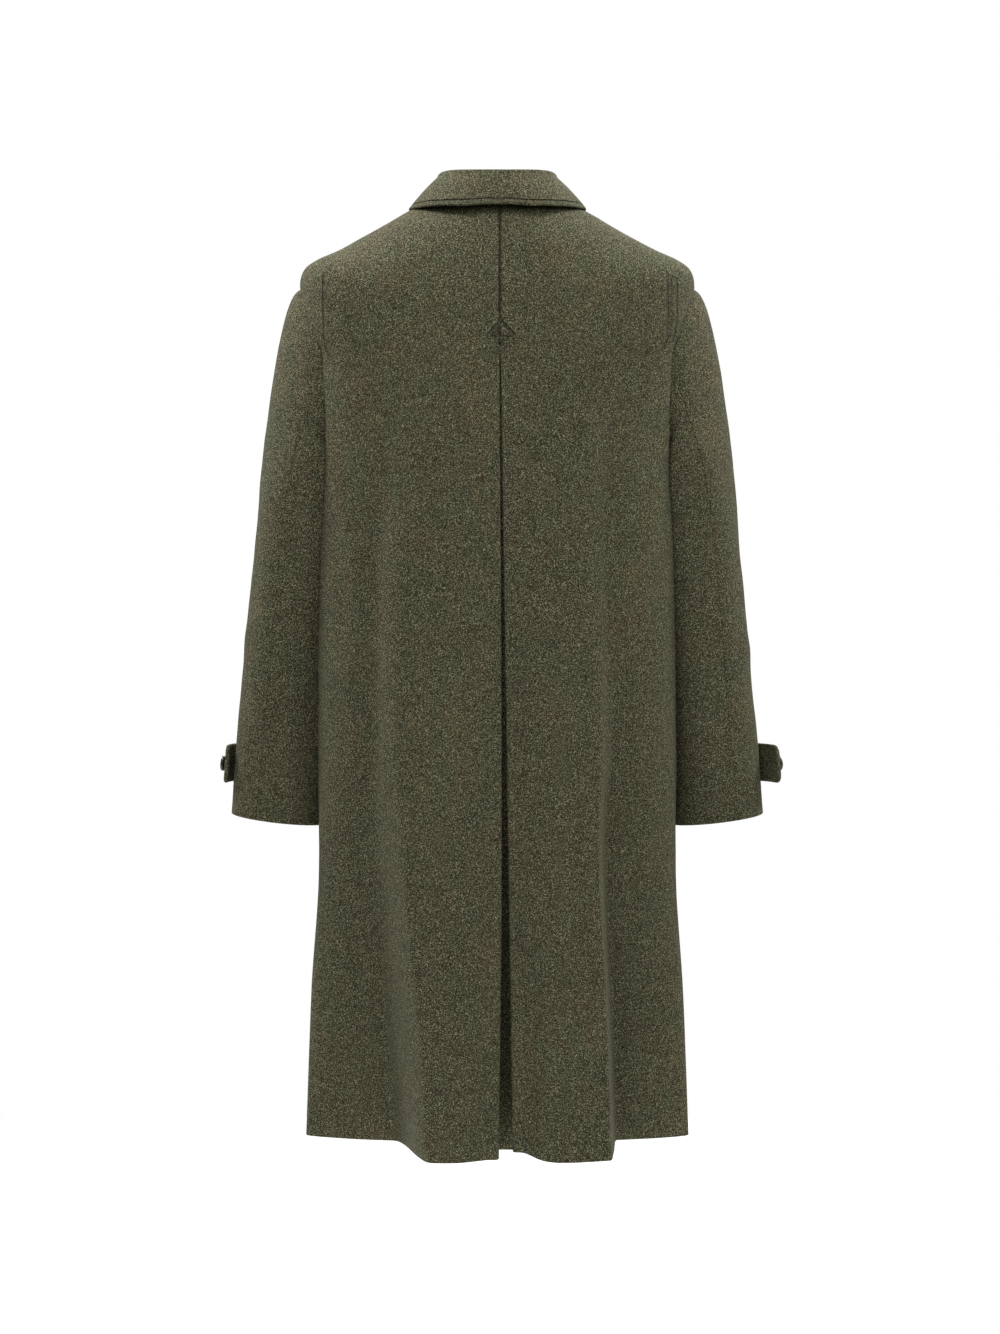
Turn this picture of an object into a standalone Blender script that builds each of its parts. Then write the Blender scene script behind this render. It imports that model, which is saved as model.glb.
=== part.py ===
"""A man's loden coat, filled out in its worn shape and empty inside.

Metres, +Z up. The front of the coat faces -Y and its back +Y, so the wearer's left is +X.
The origin is the middle of the neck opening at the height of the neck seam over the shoulders.
Every cloth piece is a loft: a grid of points on the cloth's outer face and the same grid one
cloth thickness further in. The body is built from girth lines that run round the coat.
"""
import math
from collections import namedtuple

import bmesh
import bpy
from mathutils import Vector

MM = 0.001

# Driving dimensions in millimetres
CLOTH = 2.5
TAB_CLOTH = 4.0
SEAM_SHIFT = 0.3
LAP = 28.0
LAP_STEP = 3.4
SLEEVE_CLEARANCE = 4.6
WING_TUCK = 5.0
WING_STEP = 4.0
FRONT_BUTTON_RADIUS = 12.5
FRONT_BUTTON_THICKNESS = 4.0
CUFF_BUTTON_RADIUS = 9.0
CUFF_BUTTON_THICKNESS = 4.0
BUTTON_STEPS = 20
BUTTON_OFF = 0.7
BUTTON_MERGE = 0.05
SHARP_ANGLE = 40.0
NORMAL_STEP = 3.0
CENTRE_LEAST = 0.5
HALVINGS = 30
LODEN_COLOUR = (0.060, 0.058, 0.040)
LODEN_ROUGHNESS = 0.95
HORN_COLOUR = (0.045, 0.030, 0.020)
HORN_ROUGHNESS = 0.4

# Girth lines of the body, from the neck seam over the shoulders to the hem (mm). side, back and
# front are the line's heights at the side and the two centres, wide its half width, deep and
# fore its reach to the back and the front, and square how square its outline is.
Girth = namedtuple("Girth", "side back front wide deep fore square")
GIRTHS = (
    Girth(0, -8, -70, 76, 72, 78, 2.0),
    Girth(-13, -22, -78, 104, 84, 84, 2.05),
    Girth(-29, -40, -86, 131, 96, 90, 2.1),
    Girth(-45, -60, -96, 159, 106, 96, 2.2),
    Girth(-58, -80, -106, 183, 113, 103, 2.3),
    Girth(-69, -100, -118, 207, 119, 109, 2.45),
    Girth(-80, -118, -130, 221, 124, 114, 2.6),
    Girth(-98, -136, -144, 226, 127, 119, 2.6),
    Girth(-150, -176, -180, 221, 132, 127, 2.6),
    Girth(-181, -200, -202, 214, 134, 130, 2.6),
    Girth(-240, -246, -246, 210, 137, 133, 2.6),
    Girth(-300, -300, -300, 209, 140, 135, 2.6),
    Girth(-457, -457, -457, 206, 146, 138, 2.8),
    Girth(-600, -600, -600, 205, 149, 140, 3.0),
    Girth(-710, -711, -710, 204, 150, 142, 3.1),
    Girth(-800, -802, -800, 206, 150, 145, 3.0),
    Girth(-900, -903, -900, 213, 150, 148, 2.8),
    Girth(-1072, -1077, -1072, 220, 152, 150, 2.6),
)
SHOULDER_LINES = (0, -13, -29, -45, -58, -69, -80)
SKIRT_LINES = (-345, -400, -457, -530, -615, -710, -800, -900, -985, -1072)

# The armhole is an oval in the side view (mm)
ARMHOLE_TOP = -98.0
ARMHOLE_WIDEST = -181.0
UNDERARM = -300.0
ARMHOLE_BACK = 72.0
ARMHOLE_FORE = 85.0
ARMHOLE_STEPS = 12
BACK_CORNER = 88.0
FRONT_CORNER = 100.0
SIDE_REACH = 134.0
SIDE_COLUMNS = 6
BACK_COLUMNS = (3, 4, 2)
FRONT_COLUMNS = (2, 3, 3, 2)

# Where the right front steps in under the lap (mm from the centre)
LAP_HINGE = 75.0
LAP_OVER = 40.0

# The body's room beside the sleeve (mm): where it starts, how softly the two limits meet,
# and how the room grows in front of and behind the sleeve, over the chest and at the hips
SLEEVE_ROOM_START = -121.0
SLEEVE_ROOM_BLEND = 24.0
BESIDE_SLOPE = 3.0
CHEST_ROOM = 90.0
CHEST_FROM = 235.0
CHEST_OVER = 85.0
HIP_ROOM = 60.0
HIP_FROM = 716.0
HIP_OVER = 130.0

# Sleeve sections from the biceps to the cuff (mm): middle, half width and half depth
Section = namedtuple("Section", "z mid_x mid_y wide deep")
SECTIONS = (
    Section(-320, 210, -10, 62, 78),
    Section(-457, 227, -15, 59, 67),
    Section(-590, 241, -24, 58, 57),
    Section(-710, 255, -35, 54, 46),
)
SLEEVE_LINES = (-320, -385, -457, -525, -590, -650, -710)
CAP_SHARES = (0.05, 0.14, 0.3, 0.52, 0.76)
CAP_ROUNDNESS = 0.43
SLEEVE_TILT_X = 0.118
SLEEVE_TILT_Y = -0.065
SLEEVE_LEAD = 24.0
BACK_SEAM = 6
FRONT_SEAM = 16

# How the sleeve's top edge runs round the armhole, by degrees from its top: where it stops
# lying under the wing, passes outside the panel, and leaves the panel's own line
FREE_FROM = 55.0
FREE_OVER = 50.0
OUTSIDE_FROM = 104.0
OUTSIDE_OVER = 15.0
LOWER_FROM = 88.0
LOWER_OVER = 16.0
TUCK_BACK = 1.2
EDGE_BACK = 2.0
BENEATH_SHARE = 0.13
BENEATH_OUT = 2.2
PANEL_FROM = 60.0
PANEL_OVER = 45.0
BESIDE_FROM = 40.0
BESIDE_TO = 110.0
BESIDE_OVER = 20.0

# The soft folds of the skirt (mm): where the flank of the fold starts and ends at each height,
# and the share of the depth that is lost behind it
Fold = namedtuple("Fold", "z start end share")
LEFT_FOLD = (
    Fold(-181, 92, 150, 0.0),
    Fold(-345, 96, 160, 0.05),
    Fold(-530, 104, 158, 0.13),
    Fold(-710, 100, 146, 0.32),
    Fold(-900, 86, 132, 0.62),
    Fold(-1072, 74, 119, 0.88),
)
RIGHT_FOLD = (
    Fold(-181, 96, 150, 0.0),
    Fold(-345, 104, 146, 0.04),
    Fold(-530, 112, 140, 0.1),
    Fold(-710, 110, 124, 0.3),
    Fold(-900, 117, 129, 0.6),
    Fold(-1072, 125, 137, 0.88),
)
FOLD_WIDTH = 214.0
FRONT_FOLD = (
    Fold(-181, 90, 140, 0.0),
    Fold(-345, 90, 140, 0.03),
    Fold(-530, 92, 138, 0.08),
    Fold(-710, 94, 136, 0.15),
    Fold(-900, 96, 136, 0.24),
    Fold(-1072, 98, 136, 0.32),
)

# The centre pleat (mm): the place of its two edges, the roundness of the edge, how far each
# return runs sideways and inward, and how far the underlay lies behind the returns
Pleat = namedtuple("Pleat", "z left right radius run sink hollow")
PLEATS = (
    Pleat(-8, -2.7, -3.2, 3.0, 9, 0, 0),
    Pleat(-176, -2.7, -3.2, 3.0, 10, 0, 0),
    Pleat(-203, -2.7, -4, 3.0, 48, 0.5, 0),
    Pleat(-400, -4, -7, 3.2, 52, 4, 1),
    Pleat(-600, -5, -10, 4.0, 52, 10, 4),
    Pleat(-800, -5, -13, 5.5, 48, 20, 9),
    Pleat(-1077, -2, -17, 8.0, 38, 38, 20),
)
RETURN_SHARES = (1.0, 0.5)
EDGE_TURNS = (-90, -45, 0, 45)
UNDERLAY_GAP = 0.6
UNDERLAY_LINES = (-200, -265, -345, -457, -615, -800, -985, -1062)
UNDERLAY_SHARES = (0.0, 0.5, 1.0)

# The collar (mm): half width and reaches in plan, and heights at the side and the two centres,
# of the neck seam and of the roll at the top of the stand
Collar = namedtuple("Collar", "wide deep fore side back front")
NECK = Collar(75.2, 71.2, 77.2, 0.7, -7.3, -69.3)
ROLL = Collar(57.5, 68, 74, 24, 19.5, -47)
COLLAR_END = 174
COLLAR_STEP = 12
STAND_SHARES = (1.0, 0.5, 0.0)
ROLL_RADIUS = 4.6
ROLL_TURNS = (180, 135, 90, 45, 0)
FALL_SHARES = (0.22, 0.48, 0.74, 1.0)
FALL_BULGE = 1.5
SEAM_GAP = 0.3

# The lower edge of the collar's fall (mm): its place in plan and its height over the shoulder,
# by the turn from the centre back
Edge = namedtuple("Edge", "turn x y rise")
FALL_EDGE = (
    Edge(0, 0, 95, 19.5),
    Edge(-25, 40, 92, 17),
    Edge(-50, 73, 74, 11),
    Edge(-72, 92, 47, 7),
    Edge(-88, 100, 22, 5.5),
    Edge(-105, 101, -12, 6),
    Edge(-125, 96, -46, 9),
    Edge(-145, 83, -77, 13),
    Edge(-160, 68, -97, 15),
    Edge(-174, 50, -107, 16),
)

# The cuff tabs (mm): heights, angles round the sleeve from its outer side and lift of the end
TAB_MIDDLE = -652.0
TAB_HALF_HEIGHT = 22.0
TAB_START = -75.0
TAB_FINISH = 24.0
TAB_OFF = 0.6
TAB_POINT = 0.83
TAB_COLUMNS = 14
TAB_ROWS = (1.0, 0.45, 0.0, -0.45, -1.0)
TAB_LIFTS = {1: 10.0, -1: 24.0}
TAB_NARROWING = 0.8
TAB_LIFT_FROM = 0.5
TAB_LIFT_OVER = 0.55
TAB_LOOK = 0.2
CUFF_BUTTON_ANGLE = 6.0

# The turned outline of a button: shares of its radius and of its thickness
BUTTON_PROFILE = (
    (0.0, 0.78),
    (0.55, 0.8),
    (0.78, 1.0),
    (0.93, 0.93),
    (1.0, 0.6),
    (0.95, 0.2),
    (0.8, 0.0),
    (0.0, 0.0),
)

# The front buttons: height on the side of each one's girth line (mm)
FRONT_BUTTON_LINES = (-72, -187, -310, -440, -570)


def blend(rows, at, name):
    """Smooth curve through one column of a table, read at a height."""
    rows = sorted(rows, key=lambda row: -row[0])
    knots = [row[0] for row in rows]
    values = [getattr(row, name) for row in rows]
    last = len(rows) - 1
    if at >= knots[0]:
        return float(values[0])
    if at <= knots[last]:
        return float(values[last])
    index = 0
    while knots[index + 1] > at:
        index += 1
    span = knots[index + 1] - knots[index]
    share = (at - knots[index]) / span

    def slope(knot):
        before = max(knot - 1, 0)
        after = min(knot + 1, last)
        return (values[after] - values[before]) / (knots[after] - knots[before])

    rise = values[index + 1] - values[index]
    start = slope(index) * span
    end = slope(index + 1) * span
    curve = start * share + (3 * rise - 2 * start - end) * share**2
    return values[index] + curve + (start + end - 2 * rise) * share**3


def soft_step(value):
    """0 below 0, 1 above 1 and smooth between."""
    value = min(max(value, 0.0), 1.0)
    return value * value * (3.0 - 2.0 * value)


def soft_min(first, second, width):
    """The smaller of two values, rounded where they cross."""
    near = max(width - abs(first - second), 0.0) / width
    return min(first, second) - near * near * width / 4.0


def sleeve_limit(y, z):
    """How far out the body may reach beside the sleeve, at one depth and height."""
    at = min(max(z, SECTIONS[-1].z), SECTIONS[0].z)
    mid_x = blend(SECTIONS, at, "mid_x")
    wide = blend(SECTIONS, at, "wide")
    off = abs(y - blend(SECTIONS, at, "mid_y")) / blend(SECTIONS, at, "deep")
    limit = mid_x - wide * math.sqrt(max(0.0, 1.0 - off * off))
    limit += max(0.0, off - 1.0) * BESIDE_SLOPE * wide
    limit += CHEST_ROOM * soft_step((z + CHEST_FROM) / CHEST_OVER)
    limit += HIP_ROOM * soft_step((-z - HIP_FROM) / HIP_OVER)
    return limit - SLEEVE_CLEARANCE


def body_point(side, turn, hand):
    """Outer face of the body on one girth line, in mm, for the coat's left half.

    turn is 0 at the centre back, 90 degrees at the side and 180 at the centre front.
    """
    square = blend(GIRTHS, side, "square")
    across = math.sin(turn)
    along = math.cos(turn)
    wide = blend(GIRTHS, side, "wide")
    reach = blend(GIRTHS, side, "deep") if along > 0 else -blend(GIRTHS, side, "fore")
    middle = blend(GIRTHS, side, "back") if along > 0 else blend(GIRTHS, side, "front")
    x = math.copysign(wide * abs(across) ** (2.0 / square), across)
    y = reach * abs(along) ** (2.0 / square)
    z = side + (middle - side) * along * along
    folds = FRONT_FOLD if along < 0 else (LEFT_FOLD if hand > 0 else RIGHT_FOLD)
    start = blend(folds, side, "start")
    end = blend(folds, side, "end")
    y *= 1.0 - blend(folds, side, "share") * soft_step((abs(x) - start) / (end - start))
    if side < SLEEVE_ROOM_START:
        x = soft_min(x, sleeve_limit(y, z), SLEEVE_ROOM_BLEND)
    return Vector((x, y, z))


def turn_at(x, side):
    """The turn at which a girth line passes a distance from the centre."""
    wide = blend(GIRTHS, side, "wide")
    share = min(max(x / wide, 0.0), 1.0)
    return math.asin(share ** (blend(GIRTHS, side, "square") / 2.0))


def side_turn(y, side, column):
    """The turn, up to a quarter, at which a girth line passes a depth towards its side."""
    share = abs(y) / blend(GIRTHS, side, column)
    return math.acos(min(share, 1.0) ** (blend(GIRTHS, side, "square") / 2.0))


def side_turns(side, theta, hole, corner, column):
    """Turns from the corner of the body to its side, evenly spaced in depth."""
    reach = blend(GIRTHS, side, column)
    scale = min(reach / SIDE_REACH, 1.0)
    first = corner * scale
    last = abs(hole * math.sin(theta)) if theta is not None else 0.0
    depths = spread(first, last, SIDE_COLUMNS) + [last]
    return [side_turn(y, side, column) for y in depths]


def body_lines():
    """Every girth line as (height at the side, armhole angle or None)."""
    lines = [(float(side), None) for side in SHOULDER_LINES]
    for step in range(ARMHOLE_STEPS + 1):
        theta = math.pi * step / ARMHOLE_STEPS
        reach = ARMHOLE_TOP - ARMHOLE_WIDEST
        if theta > math.pi / 2:
            reach = ARMHOLE_WIDEST - UNDERARM
        lines.append((ARMHOLE_WIDEST + reach * math.cos(theta), theta))
    return lines + [(float(side), None) for side in SKIRT_LINES]


def spread(first, last, count):
    """Evenly spaced values from first up to, and without, last."""
    return [first + (last - first) * step / count for step in range(count)]


def fold_turns(folds, side):
    """Where a fold's flank starts and ends on a girth line, scaled with it on the shoulders."""
    scale = min(blend(GIRTHS, side, "wide") / FOLD_WIDTH, 1.0) if side > ARMHOLE_WIDEST else 1.0
    start = turn_at(blend(folds, side, "start") * scale, side)
    return start, turn_at(blend(folds, side, "end") * scale, side)


def centre_normal(side):
    """Direction square to the centre back line at one girth line."""
    above = body_point(min(side + NORMAL_STEP, 0.0), 0.0, 1)
    below = body_point(side - NORMAL_STEP, 0.0, 1)
    return Vector((0, above.z - below.z, below.y - above.y)).normalized()


def back_row(side, theta, hand):
    """One row of a back panel: the pleat's return, its rounded edge, then out to the side."""
    inward = -centre_normal(side)
    height = blend(GIRTHS, side, "back")
    radius = blend(PLEATS, height, "radius")
    edge = blend(PLEATS, height, "left" if hand > 0 else "right") * hand
    run = blend(PLEATS, height, "run")
    sink = blend(PLEATS, height, "sink")
    points = []
    for share in RETURN_SHARES:
        x = edge + radius + run * share
        level = body_point(side, turn_at(x, side), hand)
        points.append(level + inward * (2.0 * radius + sink * share))
    level = body_point(side, turn_at(max(edge + radius, CENTRE_LEAST), side), hand)
    for degrees in EDGE_TURNS:
        angle = math.radians(degrees)
        point = level + inward * (radius - radius * math.sin(angle))
        point.x = edge + radius - radius * math.cos(angle)
        points.append(point)
    start, end = fold_turns(LEFT_FOLD if hand > 0 else RIGHT_FOLD, side)
    first = turn_at(max(edge + radius, CENTRE_LEAST), side)
    outer = side_turns(side, theta, ARMHOLE_BACK, BACK_CORNER, "deep")
    inner_count, flank_count, outer_count = BACK_COLUMNS
    turns = spread(first, start, inner_count) + spread(start, end, flank_count)
    turns += spread(end, outer[0], outer_count) + outer
    return points + [body_point(side, turn, hand) for turn in turns]


def front_row(side, theta, hand):
    """One row of a front panel, from the side to the edge of the lap."""
    outer = side_turns(side, theta, ARMHOLE_FORE, FRONT_CORNER, "fore")
    start, end = fold_turns(FRONT_FOLD, side)
    turns = [math.pi - turn for turn in reversed(outer)]
    outer_count, flank_count, inner_count, lap_count = FRONT_COLUMNS
    turns += spread(turns[-1], math.pi - end, outer_count)[1:]
    turns += spread(math.pi - end, math.pi - start, flank_count)
    lap = math.pi + turn_at(LAP, side)
    turns += spread(math.pi - start, math.pi, inner_count)
    turns += spread(math.pi, lap, lap_count) + [lap]
    points = [body_point(side, turn, hand) for turn in turns]
    if hand < 0:
        for point in points:
            point.y += LAP_STEP * soft_step((LAP_HINGE - point.x) / LAP_OVER)
    return points


def normal_at(before, after, above, below):
    """Unit normal of a surface from the points on four sides."""
    return (after - before).cross(below - above).normalized()


def grid_normals(grid, before=None, after=None):
    """Normals of a grid of points; before and after hold each row's neighbours, or None."""
    normals = []
    for i, row in enumerate(grid):
        above = grid[max(i - 1, 0)]
        below = grid[min(i + 1, len(grid) - 1)]
        line = []
        for j in range(len(row)):
            previous = row[j - 1] if j else (before[i] if before and before[i] else row[0])
            last = j == len(row) - 1
            following = (after[i] if after and after[i] else row[j]) if last else row[j + 1]
            line.append(normal_at(previous, following, above[j], below[j]))
        normals.append(line)
    return normals


def pull_in(outer, inner, start=False, end=False):
    """Move the edge columns of both faces in, side by side, to leave a seam's gap."""
    for row, lining in zip(outer, inner):
        if start:
            move = (row[1] - row[0]).normalized() * SEAM_SHIFT
            row[0] = row[0] + move
            lining[0] = lining[0] + move
        if end:
            move = (row[-2] - row[-1]).normalized() * SEAM_SHIFT
            row[-1] = row[-1] + move
            lining[-1] = lining[-1] + move


def cloth_colour(name, colour, roughness):
    """A plain material in one colour."""
    material = bpy.data.materials.get(name) or bpy.data.materials.new(name)
    material.use_nodes = True
    shader = material.node_tree.nodes["Principled BSDF"]
    shader.inputs["Base Color"].default_value = (*colour, 1.0)
    shader.inputs["Roughness"].default_value = roughness
    shader.inputs["Metallic"].default_value = 0.0
    return material


def loden():
    return cloth_colour("loden", LODEN_COLOUR, LODEN_ROUGHNESS)


def horn():
    return cloth_colour("horn", HORN_COLOUR, HORN_ROUGHNESS)


def place(mesh, name, material, collection):
    """Make an object of a mesh and put it in the collection."""
    mesh.materials.append(material)
    mesh.shade_smooth()
    mesh.set_sharp_from_angle(angle=math.radians(SHARP_ANGLE))
    piece = bpy.data.objects.new(name, mesh)
    collection.objects.link(piece)
    return piece


def loft(name, outer, inner, material, collection, mirrored=False):
    """A closed solid between two grids of points in mm, the outer and the inner face."""
    count = len(outer[0])
    sheet = bmesh.new()
    sides = []
    for grid in (outer, inner):
        rows = []
        for row in grid:
            flip = -1.0 if mirrored else 1.0
            rows.append([sheet.verts.new((p.x * flip * MM, p.y * MM, p.z * MM)) for p in row])
        sides.append(rows)
    face, lining = sides
    for i in range(len(outer) - 1):
        for j in range(count - 1):
            sheet.faces.new((face[i][j], face[i][j + 1], face[i + 1][j + 1], face[i + 1][j]))
            sheet.faces.new((lining[i][j], lining[i + 1][j], lining[i + 1][j + 1], lining[i][j + 1]))
    for i in range(len(outer) - 1):
        sheet.faces.new((face[i][0], face[i + 1][0], lining[i + 1][0], lining[i][0]))
        sheet.faces.new((face[i + 1][-1], face[i][-1], lining[i][-1], lining[i + 1][-1]))
    for j in range(count - 1):
        sheet.faces.new((face[0][j + 1], face[0][j], lining[0][j], lining[0][j + 1]))
        sheet.faces.new((face[-1][j], face[-1][j + 1], lining[-1][j + 1], lining[-1][j]))
    bmesh.ops.recalc_face_normals(sheet, faces=sheet.faces)
    mesh = bpy.data.meshes.new(name)
    sheet.to_mesh(mesh)
    sheet.free()
    return place(mesh, name, material, collection)


def thicken(grid, normals, wall):
    """The grid one thickness further in."""
    return [
        [point - normal * wall for point, normal in zip(row, line)]
        for row, line in zip(grid, normals)
    ]


class Half:
    """The cut and form of one half of the coat, worked out as if it were the left."""

    def __init__(self, hand):
        self.hand = hand
        self.lines = body_lines()
        self.back = [back_row(side, theta, hand) for side, theta in self.lines]
        self.front = [front_row(side, theta, hand) for side, theta in self.lines]
        seamed = [theta is None for side, theta in self.lines]
        over = [row[1] if joined else None for row, joined in zip(self.front, seamed)]
        under = [row[-2] if joined else None for row, joined in zip(self.back, seamed)]
        self.back_normals = grid_normals(self.back, after=over)
        self.front_normals = grid_normals(self.front, before=under)

    def panel(self, grid, normals, name, collection, **edges):
        outer = [list(row) for row in grid]
        inner = thicken(grid, normals, CLOTH)
        pull_in(outer, inner, **edges)
        return loft(name, outer, inner, loden(), collection, self.hand < 0)

    def armhole(self):
        """Edge points of the armhole with the panel's normal, from the shoulder to the back,
        the underarm, the front and up again."""
        holes = [i for i, line in enumerate(self.lines) if line[1] is not None]
        ring = [(self.back[i][-1], self.back_normals[i][-1]) for i in holes]
        ring += [(self.front[i][0], self.front_normals[i][0]) for i in reversed(holes[1:-1])]
        return ring


def sleeve_ring(z):
    """One ring of the sleeve in a plane across its length."""
    section = {name: blend(SECTIONS, z, name) for name in Section._fields[1:]}
    points = []
    for step in range(2 * ARMHOLE_STEPS):
        angle = math.pi * step / ARMHOLE_STEPS
        angle -= math.radians(SLEEVE_LEAD) * math.sin(angle) * abs(math.sin(angle))
        x = section["wide"] * math.cos(angle)
        y = section["deep"] * math.sin(angle)
        rise = SLEEVE_TILT_X * x + SLEEVE_TILT_Y * y
        points.append(Vector((section["mid_x"] + x, section["mid_y"] + y, z + rise)))
    return points


def sleeve_grid(half):
    """Rows of sleeve points from under the armhole's edge to the cuff."""
    ring = half.armhole()
    count = len(ring)
    biceps = sleeve_ring(SLEEVE_LINES[0])
    tucked = []
    edge = []
    for k, (point, normal) in enumerate(ring):
        along = ring[(k + 1) % count][0] - ring[k - 1][0]
        into = normal.cross(along).normalized()
        degrees = min(k, count - k) * 180.0 / ARMHOLE_STEPS
        free = 1.0 - soft_step((degrees - FREE_FROM) / FREE_OVER)
        outside = soft_step((degrees - OUTSIDE_FROM) / OUTSIDE_OVER)
        lower = soft_step((degrees - LOWER_FROM) / LOWER_OVER)
        step_in = -WING_STEP * (1.0 - outside)
        tuck = into * (WING_TUCK * free - TUCK_BACK)
        tucked.append(point + tuck + normal * (step_in + outside))
        beside = point - into * EDGE_BACK + normal * step_in
        beneath = tucked[k].lerp(biceps[k], BENEATH_SHARE) + normal * BENEATH_OUT * outside
        edge.append(beside.lerp(beneath, lower))
    rows = [tucked, edge]
    for share in CAP_SHARES:
        row = []
        for k in range(count):
            degrees = min(k, count - k) * 180.0 / ARMHOLE_STEPS
            power = CAP_ROUNDNESS + (1.0 - CAP_ROUNDNESS) * soft_step(degrees / 90.0)
            point = edge[k].lerp(biceps[k], share)
            point.x = edge[k].x + (biceps[k].x - edge[k].x) * share**power
            row.append(point)
        rows.append(row)
    return rows + [sleeve_ring(z) for z in SLEEVE_LINES]


def sleeve_normals(half, rows):
    """Directions into the sleeve at each point; under the wing they follow the panel."""
    count = len(rows[0])
    closed = [row + [row[0]] for row in rows]
    before = [row[-1] for row in rows]
    after = [row[1] for row in rows]
    normals = [line[:count] for line in grid_normals(closed, before, after)]
    for k, (point, normal) in enumerate(half.armhole()):
        degrees = min(k, count - k) * 180.0 / ARMHOLE_STEPS
        free = 1.0 - soft_step((degrees - PANEL_FROM) / PANEL_OVER)
        inward = normals[3][k].lerp(-normal, free).normalized()
        normals[0][k] = inward
        normals[1][k] = inward
        beside = soft_step((degrees - BESIDE_FROM) / BESIDE_OVER)
        beside *= 1.0 - soft_step((degrees - BESIDE_TO) / BESIDE_OVER)
        normals[2][k] = normals[2][k].lerp(inward, beside).normalized()
    return normals


def sleeves(half, collection):
    """The top and the under piece of one sleeve."""
    rows = sleeve_grid(half)
    count = len(rows[0])
    inner = thicken(rows, sleeve_normals(half, rows), -CLOTH)
    name = "left" if half.hand > 0 else "right"
    cuts = (
        ("sleeve_under_", list(range(BACK_SEAM, FRONT_SEAM + 1))),
        ("sleeve_top_", list(range(FRONT_SEAM, count)) + list(range(BACK_SEAM + 1))),
    )
    for title, columns in cuts:
        outer_piece = [[row[k] for k in columns] for row in rows]
        inner_piece = [[row[k] for k in columns] for row in inner]
        pull_in(outer_piece, inner_piece, start=True, end=True)
        loft(title + name, outer_piece, inner_piece, loden(), collection, half.hand < 0)


def underlay(collection):
    """The strip behind the centre pleat, parallel to the returns and hollowed between them."""
    rows = []
    for side in UNDERLAY_LINES:
        height = blend(GIRTHS, side, "back")
        radius = blend(PLEATS, height, "radius")
        inward = -centre_normal(side)
        halves = []
        for hand, column in ((-1, "right"), (1, "left")):
            edge = blend(PLEATS, height, column) * hand
            half = []
            for share in UNDERLAY_SHARES:
                x = edge + radius + blend(PLEATS, height, "run") * share
                depth = 2.0 * radius + UNDERLAY_GAP + blend(PLEATS, height, "sink") * share
                depth += blend(PLEATS, height, "hollow") * (1.0 - share)
                point = body_point(side, turn_at(x, side), hand) + inward * depth
                point.x *= hand
                half.append(point)
            halves.append(half)
        rows.append(list(reversed(halves[0])) + halves[1])
    inner = thicken(rows, grid_normals(rows), CLOTH)
    loft("pleat_underlay", rows, inner, loden(), collection)


def collar_ring(collar, turn):
    """A point of a ring of the collar and the way out from it in plan."""
    across = math.sin(turn)
    along = math.cos(turn)
    reach = collar.deep if along > 0 else collar.fore
    middle = collar.back if along > 0 else collar.front
    z = collar.side + (middle - collar.side) * along * along
    outward = Vector((across / collar.wide, along / reach, 0)).normalized()
    return Vector((collar.wide * across, reach * along, z)), outward


def shoulder_height(x, y):
    """Height of the shoulders over a place in plan, found by halving between girth lines."""
    column, middle = ("deep", "back") if y > 0 else ("fore", "front")
    upper = 0.0
    lower = ARMHOLE_TOP
    for step in range(HALVINGS):
        side = (upper + lower) / 2.0
        square = blend(GIRTHS, side, "square")
        reached = (abs(x) / blend(GIRTHS, side, "wide")) ** square
        reached += (abs(y) / blend(GIRTHS, side, column)) ** square
        if reached > 1.0:
            upper = side
        else:
            lower = side
    along = (abs(y) / blend(GIRTHS, side, column)) ** blend(GIRTHS, side, "square")
    return side + (blend(GIRTHS, side, middle) - side) * along


def fall_edge(turn):
    """A point of the fall's lower edge."""
    at = -abs(math.degrees(turn))
    x = blend(FALL_EDGE, at, "x")
    y = blend(FALL_EDGE, at, "y")
    z = shoulder_height(x, y) + blend(FALL_EDGE, at, "rise")
    return Vector((math.copysign(x, turn), y, z))


def collar(collection):
    """The stand, and the fall that starts above it, rolls over and comes down outside it."""
    count = 2 * COLLAR_END // COLLAR_STEP
    turns = [math.radians(-COLLAR_END + COLLAR_STEP * step) for step in range(count + 1)]
    stand = []
    for share in STAND_SHARES:
        row = []
        for turn in turns:
            low = collar_ring(NECK, turn)[0]
            high = collar_ring(ROLL, turn)[0]
            row.append(low.lerp(high - Vector((0, 0, SEAM_GAP)), share))
        stand.append(row)
    inner = thicken(stand, grid_normals(stand), CLOTH)
    loft("collar_stand", stand, inner, loden(), collection)

    fall = []
    for degrees in ROLL_TURNS:
        angle = math.radians(degrees)
        row = []
        for turn in turns:
            point, outward = collar_ring(ROLL, turn)
            out = ROLL_RADIUS - CLOTH + ROLL_RADIUS * math.cos(angle)
            row.append(point + outward * out + Vector((0, 0, ROLL_RADIUS * math.sin(angle))))
        fall.append(row)
    rolled = fall[-1]
    for share in FALL_SHARES:
        row = []
        for turn, point in zip(turns, rolled):
            outward = collar_ring(ROLL, turn)[1] + Vector((0, 0, 1))
            bulge = outward.normalized() * FALL_BULGE * math.sin(math.pi * share)
            row.append(point.lerp(fall_edge(turn), share) + bulge)
        fall.append(row)
    normals = grid_normals(fall)
    for turn, normal in zip(turns, normals[0]):
        normal.xyz = -collar_ring(ROLL, turn)[1]
    loft("collar_fall", fall, thicken(fall, normals, CLOTH), loden(), collection)


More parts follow.
